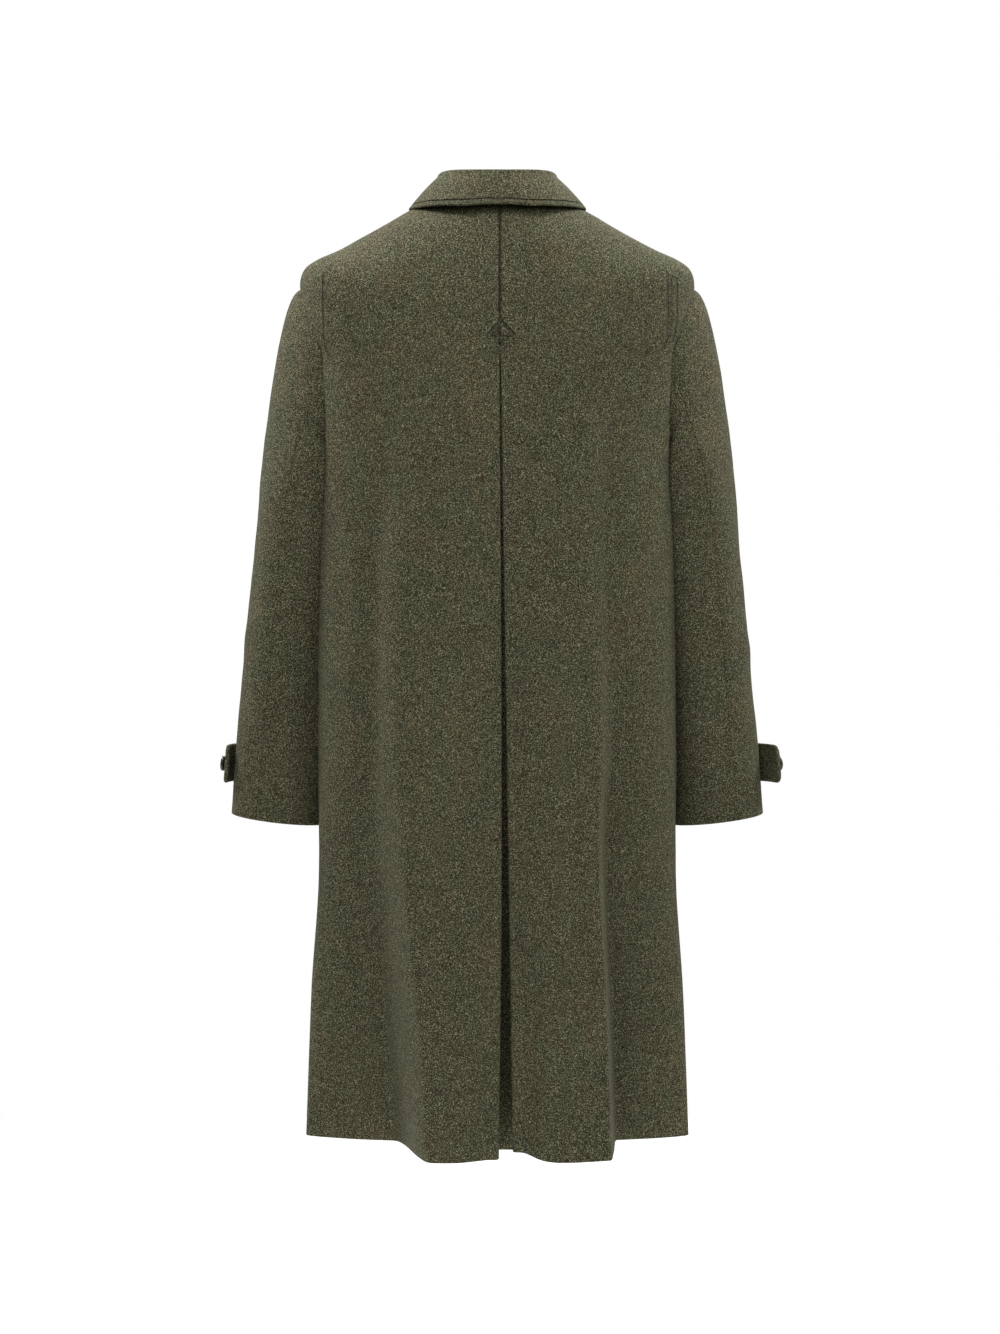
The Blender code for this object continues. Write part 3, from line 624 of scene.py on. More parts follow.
HOLE_SHARE = np.zeros(len(SIDES))
HOLE_SHARE[HOLE] = np.sin(thetas)
print("Rows:", len(SIDES))

# %% Even columns along the cloth
TURN_STEPS = 500
HALF_STEP = 3.0


def even_stretch(first, last, count, hand):
    """Points evenly spaced along each row between two turns, without the last one."""
    shares = np.linspace(0.0, 1.0, TURN_STEPS)
    turns = first[:, None] + (last - first)[:, None] * shares[None, :]
    rows = []
    for run, turned in zip(walk(body_points(SIDES[:, None], turns, hand)), turns):
        even = np.linspace(0.0, run[-1], count + 1)[:-1]
        rows.append(np.interp(even, run, turned))
    return body_points(SIDES[:, None], np.array(rows), hand)


def normals_of(grid):
    """Unit normals of a grid of points."""
    return unit(np.cross(np.gradient(grid, axis=1), np.gradient(grid, axis=0)))


def centre_normals(sides):
    """Directions square to the centre back line, one for each row."""
    above = body_points(np.minimum(sides + HALF_STEP, 0.0), 0.0, 1)
    up = above - body_points(sides - HALF_STEP, 0.0, 1)
    return unit(np.stack([np.zeros(len(sides)), up[:, 2], -up[:, 1]], axis=-1))


print("Grid helpers ready")

# %% [markdown]
# ## Creases
# Worn wool never lies perfectly smooth. Broad hollows and ridges run down from where the cloth
# is held, and short ones gather at the underarm. Each crease is a path drawn on the piece, with
# a width and a height: below zero it is a trough, above zero a ridge. Both fade out at their
# ends. A slow, weak noise adds the unevenness of cloth that has been worn.

# %% Creases drawn as paths
Crease = namedtuple("Crease", "path wide high")
FADE_POWER = 0.7
SEED_SHIFT = (7.3, 3.1, 5.7)


def crease_height(across, down, creases):
    """Height in mm that the creases add at each point, from its place on the piece."""
    total = np.zeros(across.shape)
    for crease in creases:
        path = np.array(crease.path, float)
        spans = np.linalg.norm(np.diff(path, axis=0), axis=1)
        nearest = np.full(across.shape, np.inf)
        run = np.zeros(across.shape)
        start = 0.0
        for (ax, az), (bx, bz), span in zip(path[:-1], path[1:], spans):
            share = ((across - ax) * (bx - ax) + (down - az) * (bz - az)) / span**2
            share = np.clip(share, 0.0, 1.0)
            gap = np.hypot(across - ax - share * (bx - ax), down - az - share * (bz - az))
            closer = gap < nearest
            nearest = np.where(closer, gap, nearest)
            run = np.where(closer, start + share * span, run)
            start += span
        fade = np.sin(math.pi * np.clip(run / start, 0.0, 1.0)) ** FADE_POWER
        total += crease.high * np.exp(-((nearest / crease.wide) ** 2)) * fade
    return total


def unevenness(points, seed, amounts):
    """Slow noise over the points, in mm, for pairs of (size of a hollow in mm, height)."""
    flat = points.reshape(-1, 3)
    total = np.zeros(len(flat))
    shift = Vector([seed * part for part in SEED_SHIFT])
    for size, height in amounts:
        values = [noise.noise(Vector(point) + shift) for point in flat / size]
        total += height * np.array(values)
    return total.reshape(points.shape[:2])


print("Crease helpers ready")

# %% [markdown]
# ## From a grid to cloth
# A cloth edge is never a knife edge. The shell below joins the outer and the inner face with a
# rim of half a circle, so every hem, wing and seam catches light as rolled wool does. The rim
# is made from the grid itself and not with a modifier, because the ends stay exactly in place.

# %% A shell with a rolled rim
CLOTH = 2.5
RIM_TURNS = (36, 72, 108, 144)
NO_ROW = 30.0


def rim_loop(rows, columns):
    """Row and column of each point round the edge of a grid."""
    loop = [(0, j) for j in range(columns)]
    loop += [(i, columns - 1) for i in range(1, rows)]
    loop += [(rows - 1, j) for j in range(columns - 2, -1, -1)]
    loop += [(i, 0) for i in range(rows - 2, 0, -1)]
    return np.array(loop)


def add_piece(name, points, faces, material, stitch_row=None):
    """A mesh object from points in mm, smooth shaded, with one material."""
    mesh = bpy.data.meshes.new(name)
    mesh.from_pydata((np.asarray(points) * MM).tolist(), [], faces)
    mesh.materials.append(material)
    mesh.shade_smooth()
    if stitch_row is not None:
        row = mesh.attributes.new("stitch_row", "FLOAT", "POINT")
        row.data.foreach_set("value", np.asarray(stitch_row, dtype=np.float32))
    mesh.update()
    return placed(name, mesh)


def cloth_shell(name, outer, normals, hand=1, wall=CLOTH, rows_at=None, inside_out=False):
    """A closed piece of cloth whose outer face is a grid of points, with a rolled rim."""
    rows, columns = outer.shape[:2]
    loop = rim_loop(rows, columns)
    i, j = loop[:, 0], loop[:, 1]
    within = outer[np.clip(i, 1, rows - 2), np.clip(j, 1, columns - 2)]
    away = unit(outer[i, j] - within)
    outer = outer.copy()
    outer[i, j] -= away * wall / 2.0
    inner = outer - normals * wall
    middle = (outer[i, j] + inner[i, j]) / 2.0
    half = (outer[i, j] - inner[i, j]) / 2.0
    rings = []
    for degrees in RIM_TURNS:
        angle = math.radians(degrees)
        rings.append(middle + half * math.cos(angle) + away * wall / 2.0 * math.sin(angle))
    points = np.concatenate([outer.reshape(-1, 3), inner.reshape(-1, 3)] + rings)
    points[:, 0] *= hand
    count = rows * columns
    a = (np.arange(rows - 1)[:, None] * columns + np.arange(columns - 1)[None, :]).ravel()
    face = np.stack([a, a + 1, a + columns + 1, a + columns], axis=1)
    lining = np.stack([a, a + columns, a + columns + 1, a + 1], axis=1) + count
    ring_size = len(loop)
    levels = [i * columns + j]
    for step in range(len(RIM_TURNS)):
        levels.append(2 * count + step * ring_size + np.arange(ring_size))
    levels.append(count + i * columns + j)
    rims = []
    for low, high in zip(levels[:-1], levels[1:]):
        rims.append(np.stack([np.roll(low, -1), low, high, np.roll(high, -1)], axis=1))
    faces = np.concatenate([face, lining] + rims)
    if (hand < 0) != inside_out:
        faces = faces[:, ::-1]
    marks = np.full(len(points), NO_ROW)
    if rows_at is not None:
        marks[:count] = rows_at.ravel()
    piece = add_piece(name, points, faces.tolist(), loden, marks)
    print(name, "has", 2 * len(faces), "triangles")
    return piece

# %% [markdown]
# ## The back panels
# Two back panels meet in a centre seam. Below a sewn tack the seam opens into an inverted
# pleat: each panel turns inward round a soft edge and comes back as a return, and a strip
# called the underlay closes the gap behind. The return and the turned edge are part of the
# same grid as the panel, so the cloth runs round the fold in one piece, as it does in wool.

# %% The centre pleat
Pleat = namedtuple("Pleat", "z left right radius run sink hollow")
PLEATS = (
    Pleat(-8, -3.03, -2.97, 3.0, 9, 0, 0),
    Pleat(-180, -3.03, -2.97, 3.0, 10, 0, 0),
    Pleat(-203, -2.7, -4, 3.0, 48, 0.5, 0),
    Pleat(-400, -4, -7, 3.2, 52, 4, 1),
    Pleat(-600, -5, -10, 4.0, 52, 10, 4),
    Pleat(-800, -5, -13, 5.5, 48, 20, 9),
    Pleat(-1077, -2, -17, 8.0, 38, 38, 20),
)
RETURN_COLUMNS = 10
EDGE_COLUMNS = 9
EDGE_POWER = 0.6
BACK_COLUMNS = (24, 26, 34)
FOLD_WIDTH = 214.0
CENTRE_LEAST = 0.5
Dip = namedtuple("Dip", "z right left wide under")
DIPS = (
    Dip(-176, 0, 0, 12, 0),
    Dip(-400, 2.4, 2, 14, 6),
    Dip(-600, 7, 6, 18, 13),
    Dip(-800, 15, 13, 23, 26),
    Dip(-1077, 26, 22, 29, 42),
)
HEM_LIFTS = {1: 0.5, -1: 8.0}
HEM_LIFT_WIDE = 17.0
HEM_LIFT = Ramp(930.0, 150.0)


def fold_turns(folds):
    """Turns where a fold's flank starts and ends on every row."""
    narrow = np.minimum(blend(GIRTHS, SIDES, "wide") / FOLD_WIDTH, 1.0)
    scale = np.where(SIDES > ARMHOLE_WIDEST, narrow, 1.0)
    start = turn_at(blend(folds, SIDES, "start") * scale, SIDES)
    return start, turn_at(blend(folds, SIDES, "end") * scale, SIDES)


def back_grid(hand):
    """Grid of a back panel, from the end of its return to its side."""
    height = blend(GIRTHS, SIDES, "back")
    radius = blend(PLEATS, height, "radius")
    edge = blend(PLEATS, height, "left" if hand > 0 else "right") * hand
    run = blend(PLEATS, height, "run")
    sink = blend(PLEATS, height, "sink")
    inward = -centre_normals(SIDES)
    columns = []
    for share in np.linspace(1.0, 0.0, RETURN_COLUMNS + 1)[:-1]:
        level = body_points(SIDES, turn_at(edge + radius + run * share, SIDES), hand)
        columns.append(level + inward * (2.0 * radius + sink * share)[:, None])
    first = turn_at(np.maximum(edge + radius, CENTRE_LEAST), SIDES)
    level = body_points(SIDES, first, hand)
    for degrees in np.linspace(-90.0, 90.0, EDGE_COLUMNS + 1)[:-1]:
        sine = math.sin(math.radians(degrees))
        rise = math.copysign(abs(sine) ** EDGE_POWER, sine)
        reach = math.cos(math.radians(degrees)) ** EDGE_POWER
        point = level + inward * (radius - radius * rise)[:, None]
        point[:, 0] = edge + radius - radius * reach
        columns.append(point)
    start, end = fold_turns(LEFT_FOLD if hand > 0 else RIGHT_FOLD)
    last = side_turn(ARMHOLE_BACK * HOLE_SHARE, SIDES, "deep")
    stops = (first, start, end, last)
    stretches = [np.stack(columns, axis=1)]
    for low, high, count in zip(stops[:-1], stops[1:], BACK_COLUMNS):
        stretches.append(even_stretch(low, high, count, hand))
    stretches.append(body_points(SIDES, last, hand)[:, None, :])
    grid = np.concatenate(stretches, axis=1)
    from_pleat = np.maximum(grid[..., 0] - (edge + radius)[:, None], 0.0)
    from_pleat[:, :RETURN_COLUMNS + EDGE_COLUMNS] = 0.0
    drop = blend(DIPS, height, "left" if hand > 0 else "right")[:, None]
    drop = drop * np.exp(-((from_pleat / blend(DIPS, height, "wide")[:, None]) ** 2))
    grid = grid + inward[:, None, :] * drop[..., None]
    lift = HEM_LIFTS[hand] * climb(-grid[..., 2], HEM_LIFT)
    grid[..., 2] += lift * np.exp(-((from_pleat / HEM_LIFT_WIDE) ** 2))
    return grid


BACK = {hand: back_grid(hand) for hand in (1, -1)}
print("Back grid:", BACK[1].shape[:2])

# %% [markdown]
# ## The fronts
# Each front runs from the side seam to a lap past the centre, left over right. The right one
# steps in under the left where they overlap.

# %% Front grids
FRONT_COLUMNS = (30, 14, 24, 8)
LAP = 28.0
LAP_STEP = 3.4
LAP_HINGE = Ramp(-75.0, 40.0)


def front_grid(hand):
    """Grid of a front panel, from its side to the edge of the lap."""
    outer = math.pi - side_turn(ARMHOLE_FORE * HOLE_SHARE, SIDES, "fore")
    start, end = fold_turns(FRONT_FOLD)
    centre = np.full(len(SIDES), math.pi)
    lap = math.pi + turn_at(LAP, SIDES)
    stops = (outer, math.pi - end, math.pi - start, centre, lap)
    stretches = []
    for low, high, count in zip(stops[:-1], stops[1:], FRONT_COLUMNS):
        stretches.append(even_stretch(low, high, count, hand))
    stretches.append(body_points(SIDES, lap, hand)[:, None, :])
    grid = np.concatenate(stretches, axis=1)
    if hand < 0:
        grid[..., 1] += LAP_STEP * climb(-grid[..., 0], LAP_HINGE)
    return grid


FRONT = {hand: front_grid(hand) for hand in (1, -1)}
BACK_NORMALS = {hand: normals_of(BACK[hand]) for hand in (1, -1)}
FRONT_NORMALS = {hand: normals_of(FRONT[hand]) for hand in (1, -1)}
print("Front grid:", FRONT[1].shape[:2])

# %% [markdown]
# The creases of the panels are drawn on the cloth: millimetres from the centre line, measured
# along the cloth, and the height. The long ones fall from the shoulder blades and the chest,
# and the short ones radiate from the underarm, where the sleeve crushes the body.

# %% Creases of the panels
BACK_CREASES = {
    1: (
        Crease(((84, -215), (84, -400), (82, -600), (84, -800)), 24, 3.4),
        Crease(((118, -215), (140, -400), (150, -560), (158, -720)), 17, -7.6),
        Crease(((60, -380), (66, -560), (58, -760), (52, -960)), 24, 1.3),
        Crease(((34, -420), (36, -640), (30, -860)), 13, -1.1),
        Crease(((196, -262), (168, -330), (150, -420)), 8, -2.0),
        Crease(((206, -330), (182, -372), (166, -440)), 8, 1.6),
        Crease(((200, -395), (184, -450), (176, -520)), 9, -1.8),
        Crease(((150, -120), (128, -185), (112, -250)), 18, 1.3),
        Crease(((172, -150), (150, -215), (140, -270)), 14, -1.4),
        Crease(((20, -186), (44, -232), (58, -300)), 12, -1.0),
        Crease(((74, -840), (70, -940), (66, -1050)), 12, 1.6),
        Crease(((98, -860), (92, -960), (88, -1060)), 10, -1.4),
    ),
    -1: (
        Crease(((80, -205), (78, -400), (80, -600), (88, -760)), 20, 2.6),
        Crease(((116, -215), (119, -340), (120, -470), (122, -640)), 18, -8.0),
        Crease(((170, -300), (178, -440), (182, -600), (184, -780)), 24, 4.0),
        Crease(((62, -400), (58, -600), (66, -800), (74, -980)), 26, 1.4),
        Crease(((32, -440), (30, -640), (36, -860)), 12, -1.0),
        Crease(((190, -258), (162, -318), (146, -390)), 8, -2.0),
        Crease(((202, -318), (178, -362), (160, -430)), 8, 1.7),
        Crease(((198, -400), (180, -452), (170, -540)), 10, -2.0),
        Crease(((148, -118), (130, -180), (110, -255)), 16, 1.2),
        Crease(((170, -146), (152, -206), (136, -275)), 13, -1.5),
        Crease(((22, -188), (48, -240), (64, -320)), 12, -0.9),
        Crease(((98, -800), (104, -920), (110, -1050)), 9, 1.8),
        Crease(((80, -820), (84, -930), (88, -1050)), 12, -1.2),
    ),
}
FRONT_CREASES = {
    1: (
        Crease(((96, -200), (100, -400), (98, -620), (96, -820)), 15, 1.6),
        Crease(((120, -215), (132, -400), (138, -580), (136, -760)), 15, -2.2),
        Crease(((55, -330), (62, -540), (56, -780), (50, -980)), 22, 1.1),
        Crease(((192, -262), (164, -325), (146, -405)), 8, -2.0),
        Crease(((204, -330), (180, -380), (162, -450)), 8, 1.6),
        Crease(((30, -190), (62, -236), (92, -262)), 11, -1.1),
        Crease(((30, -314), (58, -350), (86, -364)), 11, -1.0),
        Crease(((112, -780), (110, -920), (106, -1050)), 13, -1.8),
    ),
    -1: (
        Crease(((94, -210), (96, -410), (100, -640), (98, -850)), 16, 1.5),
        Crease(((118, -220), (128, -390), (134, -590), (132, -780)), 14, -2.1),
        Crease(((58, -350), (54, -560), (60, -800), (56, -990)), 20, 1.2),
        Crease(((190, -258), (160, -320), (142, -395)), 8, -1.9),
        Crease(((202, -326), (176, -374), (158, -440)), 8, 1.5),
        Crease(((44, -196), (74, -246), (98, -280)), 12, -1.0),
        Crease(((110, -800), (106, -930), (102, -1055)), 12, -1.7),
    ),
}
PANEL_UNEVEN = ((150.0, 1.6), (58.0, 0.7), (24.0, 0.22))
CENTRE_COLUMN = RETURN_COLUMNS + EDGE_COLUMNS
SEAM_FADE = 8.0
SEAM_REACH = 0.45


def run_along(grid, zero):
    """Distance in mm along the cloth of each point from one column."""
    lengths = walk(grid)
    return lengths - lengths[:, zero:zero + 1]


def fade_columns(count, first, last, over):
    """A weight for each column that is 0 at both ends of a stretch and 1 inside."""
    columns = np.arange(count)
    inside = np.minimum((columns - first) / over, (last - columns) / over)
    return soft_step(inside)[None, :]


def creased(grid, normals, across, creases, seed, weight):
    """The grid with its creases and unevenness, and its new normals."""
    height = crease_height(across, grid[..., 2], creases)
    height += unevenness(grid, seed, PANEL_UNEVEN)
    top = soft_step(np.arange(len(grid)) / SEAM_FADE)[:, None]
    grid = grid + normals * (height * weight * top)[..., None]
    return grid, normals_of(grid)


def close_seam(grid, column, beside):
    """Push a side edge below the armhole a little past its seam line, so no light shows."""
    way = unit(grid[HOLE.stop:, column] - grid[HOLE.stop:, beside])
    grid[HOLE.stop:, column] += way * SEAM_REACH


print("Creases on the back:", len(BACK_CREASES[1]) + len(BACK_CREASES[-1]))

# %% [markdown]
# A row of stitches runs down each back panel inside the loose armhole edge, a triangle holds
# the top of the pleat, and the front edges are stitched too. Each path is kept twice: as a
# distance on the mesh for the dip, and later as thread.

# %% Rows of stitches on the panels
WING_ROWS = {
    1: (((-90, 194.0), (-165, 193.4), (-178, 190.5), (-189, 186.0)),),
    -1: (
        ((-90, 190.0), (-150, 190.0), (-168, 189.0), (-182, 184.0)),
        ((-97, 201.0), (-140, 201.0), (-160, 198.5), (-171, 195.0)),
    ),
}
FRONT_ROW = 8.0
SEAM_PLACE = -3.0
SEAM_END = -182.0
TACK_CENTRE = -4.0
TACK_HALF = 16.5
TACK_BASE = -171.0
TACK_TOP = -153.0
TACK_CORNERS = (
    (TACK_CENTRE - TACK_HALF, TACK_BASE),
    (TACK_CENTRE + TACK_HALF, TACK_BASE),
    (TACK_CENTRE, TACK_TOP),
)
TACK_LINES = tuple(zip(TACK_CORNERS, TACK_CORNERS[1:] + TACK_CORNERS[:1]))


def row_across(path, z):
    """How far from the centre line a row down the back runs at some heights."""
    heights, places = zip(*reversed(path))
    return np.interp(z, heights, places)


def row_distance(grid, hand):
    """Signed distance in mm of each point of a back panel from its nearest row or seam."""
    across = grid[..., 0] * hand
    height = grid[..., 2]
    behind = grid[..., 1] > 0
    gaps = []
    for path in WING_ROWS[hand]:
        beside = (height < path[0][0]) & (height > path[-1][0]) & behind
        gaps.append(np.where(beside, grid[..., 0] - row_across(path, height), NO_ROW))
    for (start_x, start_z), (end_x, end_z) in TACK_LINES:
        run_x = end_x - start_x
        run_z = end_z - start_z
        length = math.hypot(run_x, run_z)
        share = ((across - start_x) * run_x + (height - start_z) * run_z) / length**2
        gap = ((across - start_x) * run_z - (height - start_z) * run_x) / length
        gaps.append(np.where((share > 0.0) & (share < 1.0) & behind, gap, NO_ROW))
    gaps.append(np.where(height > SEAM_END, across - SEAM_PLACE, NO_ROW))
    nearest = np.full(height.shape, NO_ROW)
    for gap in gaps:
        nearest = np.where(np.abs(gap) < np.abs(nearest), gap, nearest)
    return nearest


print("Rows down the back:", sum(len(paths) for paths in WING_ROWS.values()))

# %% Make the panels
NAMES = {1: "left", -1: "right"}
BACK_SEED = 2
FRONT_SEED = 5
LAP_CALM = 0.35
LAP_CALMED = Ramp(20.0, 40.0)
CLOTHS = {}
GRIDS = {}

for hand, name in NAMES.items():
    across = run_along(BACK[hand], CENTRE_COLUMN)
    count = BACK[hand].shape[1]
    weight = fade_columns(count, CENTRE_COLUMN - 1, count - 1, SEAM_FADE)
    grid, normals = creased(
        BACK[hand], BACK_NORMALS[hand], across, BACK_CREASES[hand], BACK_SEED + hand, weight
    )
    close_seam(grid, -1, -2)
    rows_at = row_distance(grid, hand)
    CLOTHS["back_" + name] = cloth_shell("cloth_back_" + name, grid, normals, hand, CLOTH, rows_at)
    GRIDS["back_" + name] = grid

    centre = sum(FRONT_COLUMNS[:-1])
    across = -run_along(FRONT[hand], centre)
    count = FRONT[hand].shape[1]
    weight = fade_columns(count, 0, count + SEAM_FADE, SEAM_FADE)
    weight = weight * (LAP_CALM + (1.0 - LAP_CALM) * climb(across, LAP_CALMED))
    grid, normals = creased(
        FRONT[hand], FRONT_NORMALS[hand], across, FRONT_CREASES[hand], FRONT_SEED + hand, weight
    )
    close_seam(grid, 0, 1)
    rows_at = -run_along(grid, count - 1) - FRONT_ROW
    CLOTHS["front_" + name] = cloth_shell("cloth_front_" + name, grid, normals, hand, CLOTH, rows_at)
    GRIDS["front_" + name] = grid

# %% Underlay of the pleat
UNDERLAY_GAP = 0.6
UNDERLAY_ROWS = 172
UNDERLAY_TOP = -200.0
UNDERLAY_HEM = -1070.0
UNDERLAY_COLUMNS = 11


def underlay_grid():
    """Grid of the strip behind the pleat, hollowed between the two returns."""
    sides = np.linspace(UNDERLAY_TOP, UNDERLAY_HEM, UNDERLAY_ROWS)
    height = blend(GIRTHS, sides, "back")
    radius = blend(PLEATS, height, "radius")
    inward = -centre_normals(sides)
    halves = []
    for hand, column in ((-1, "right"), (1, "left")):
        edge = blend(PLEATS, height, column) * hand
        half = []
        for share in np.linspace(0.0, 1.0, UNDERLAY_COLUMNS):
            x = edge + radius + blend(PLEATS, height, "run") * share
            depth = 2.0 * radius + UNDERLAY_GAP + blend(PLEATS, height, "sink") * share
            depth = depth + blend(PLEATS, height, "hollow") * (1.0 - share)
            depth = depth + blend(DIPS, height, "under")
            point = body_points(sides, turn_at(x, sides), hand) + inward * depth[:, None]
            point[:, 0] *= hand
            half.append(point)
        halves.append(half)
    return np.stack(list(reversed(halves[0])) + halves[1], axis=1)


strip = underlay_grid()
CLOTHS["pleat_underlay"] = cloth_shell("cloth_pleat_underlay", strip, normals_of(strip))

# %% [markdown]
# ## The sleeves
# A coat sleeve is cut in two pieces, a wide top piece and a narrow under piece, joined by a
# back seam and a front seam. Its head slips under the loose edge of the body, the wing, so
# the first ring of the sleeve is the ring of the armhole moved a few millimetres in. From
# there the cloth swells over the shoulder and comes down in leaning ovals to the cuff.

# %% Sleeve grid
SLEEVE_ROWS = 88
CAP_ROWS = 30
TUCK_ROWS = 3
CAP_ROUNDNESS = 0.43
CAP_SPACING = 1.6
SLEEVE_TILT_X = 0.118
SLEEVE_TILT_Y = -0.065
SLEEVE_LEAD = 24.0
RING = 2 * HOLE_STEPS
BACK_SEAM = RING * 6 // 24
FRONT_SEAM = RING * 16 // 24
WING_TUCK = 5.0
WING_STEP = 4.0
SEAM_TUCK = 1.2
EDGE_SETBACK = 2.0
BENEATH_SHARE = 0.13
BENEATH_OUT = 2.2
RING_ROUNDS = 6
WING_END = Ramp(55.0, 50.0)
OUTSIDE = Ramp(104.0, 15.0)
UNDERARM_SIDE = Ramp(88.0, 16.0)
CAP_SIDE = Ramp(0.0, 90.0)


def sleeve_at(z, angle):
    """Points of the sleeve's outer face at some heights and angles round it."""
    x = blend(SECTIONS, z, "wide") * np.cos(angle)
    y = blend(SECTIONS, z, "deep") * np.sin(angle)
    height = z + SLEEVE_TILT_X * x + SLEEVE_TILT_Y * y
    place = (blend(SECTIONS, z, "mid_x") + x, blend(SECTIONS, z, "mid_y") + y, height)
    return np.stack(place, axis=-1)


def sleeve_rings(z):
    """Rings of the sleeve at some heights, each in a plane across its length."""
    angle = math.pi * np.arange(RING)[None, :] / HOLE_STEPS
    angle = angle - math.radians(SLEEVE_LEAD) * np.sin(angle) * np.abs(np.sin(angle))
    return sleeve_at(np.asarray(z, float)[:, None], angle)


def smooth_ring(values, rounds):
    """Values round a closed ring, evened out."""
    for step in range(rounds):
        values = (np.roll(values, 1, axis=0) + 2.0 * values + np.roll(values, -1, axis=0)) / 4.0
    return values


def armhole_ring(hand):
    """Edge points and normals round the armhole, from the shoulder by the back."""
    back = BACK[hand][HOLE, -1]
    front = FRONT[hand][HOLE, 0][-2:0:-1]
    back_out = BACK_NORMALS[hand][HOLE, -1]
    front_out = FRONT_NORMALS[hand][HOLE, 0][-2:0:-1]
    out = smooth_ring(np.concatenate([back_out, front_out]), RING_ROUNDS)
    return np.concatenate([back, front]), unit(out)


def sleeve_grid(hand):
    """Rows of the sleeve from under the armhole's edge to the cuff, with ways and degrees."""
    ring, out = armhole_ring(hand)
    into = unit(np.cross(out, np.roll(ring, -1, axis=0) - np.roll(ring, 1, axis=0)))
    steps = np.arange(RING)
    degrees = np.minimum(steps, RING - steps) * 180.0 / HOLE_STEPS
    free = 1.0 - climb(degrees, WING_END)[:, None]
    outside = climb(degrees, OUTSIDE)[:, None]
    lower = climb(degrees, UNDERARM_SIDE)[:, None]
    biceps = sleeve_rings([SECTIONS[0].z])[0]
    step_in = -WING_STEP * (1.0 - outside)
    tucked = ring + into * (WING_TUCK * free - SEAM_TUCK) + out * (step_in + outside)
    beside = ring - into * EDGE_SETBACK + out * step_in
    beneath = tucked + (biceps - tucked) * BENEATH_SHARE + out * BENEATH_OUT * outside
    edge = beside + (beneath - beside) * lower
    rows = [tucked + (edge - tucked) * share for share in np.linspace(0, 1, TUCK_ROWS + 1)]
    power = CAP_ROUNDNESS + (1.0 - CAP_ROUNDNESS) * climb(degrees, CAP_SIDE)
    for share in np.linspace(0.0, 1.0, CAP_ROWS + 1)[1:-1] ** CAP_SPACING:
        row = edge + (biceps - edge) * share
        row[:, 0] = edge[:, 0] + (biceps[:, 0] - edge[:, 0]) * share**power
        rows.append(row)
    lower_rows = sleeve_rings(np.linspace(SECTIONS[0].z, SECTIONS[-1].z, SLEEVE_ROWS))
    return np.concatenate([np.stack(rows), lower_rows]), out, degrees


print("Points round a sleeve:", RING)

# %% Sleeve surface
RELAX_ROUNDS = 22
HEAD_ROWS = Ramp(TUCK_ROWS + 3, 12.0)
STEADY_ROW = TUCK_ROWS + 2
UNDER_WING = Ramp(60.0, 45.0)


def relaxed(grid):
    """The grid with its rows evened out below the sleeve head."""
    weight = climb(np.arange(len(grid)), HEAD_ROWS)[:, None, None]
    for step in range(RELAX_ROUNDS):
        even = grid.copy()
        even[1:-1] = (grid[:-2] + 2.0 * grid[1:-1] + grid[2:]) / 4.0
        grid = grid + (even - grid) * weight
    return grid


def sleeve_normals(grid, out, degrees):
    """Ways out of the sleeve; under the wing they follow the panel."""
    along = np.roll(grid, -1, axis=1) - np.roll(grid, 1, axis=1)
    normals = unit(np.cross(np.gradient(grid, axis=0), along))
    free = 1.0 - climb(degrees, UNDER_WING)[:, None]
    steady = normals[STEADY_ROW]
    for row in range(TUCK_ROWS + 1):
        normals[row] = unit(steady + (out - steady) * free)
    return normals


print("Rounds of evening out:", RELAX_ROUNDS)

# %% [markdown]
# The creases of a sleeve are drawn on the cloth as well: millimetres round it from its outer
# line, towards the back above zero, and the height. Most lie at the underarm and round the
# elbow, and two long hollows run down beside the body.

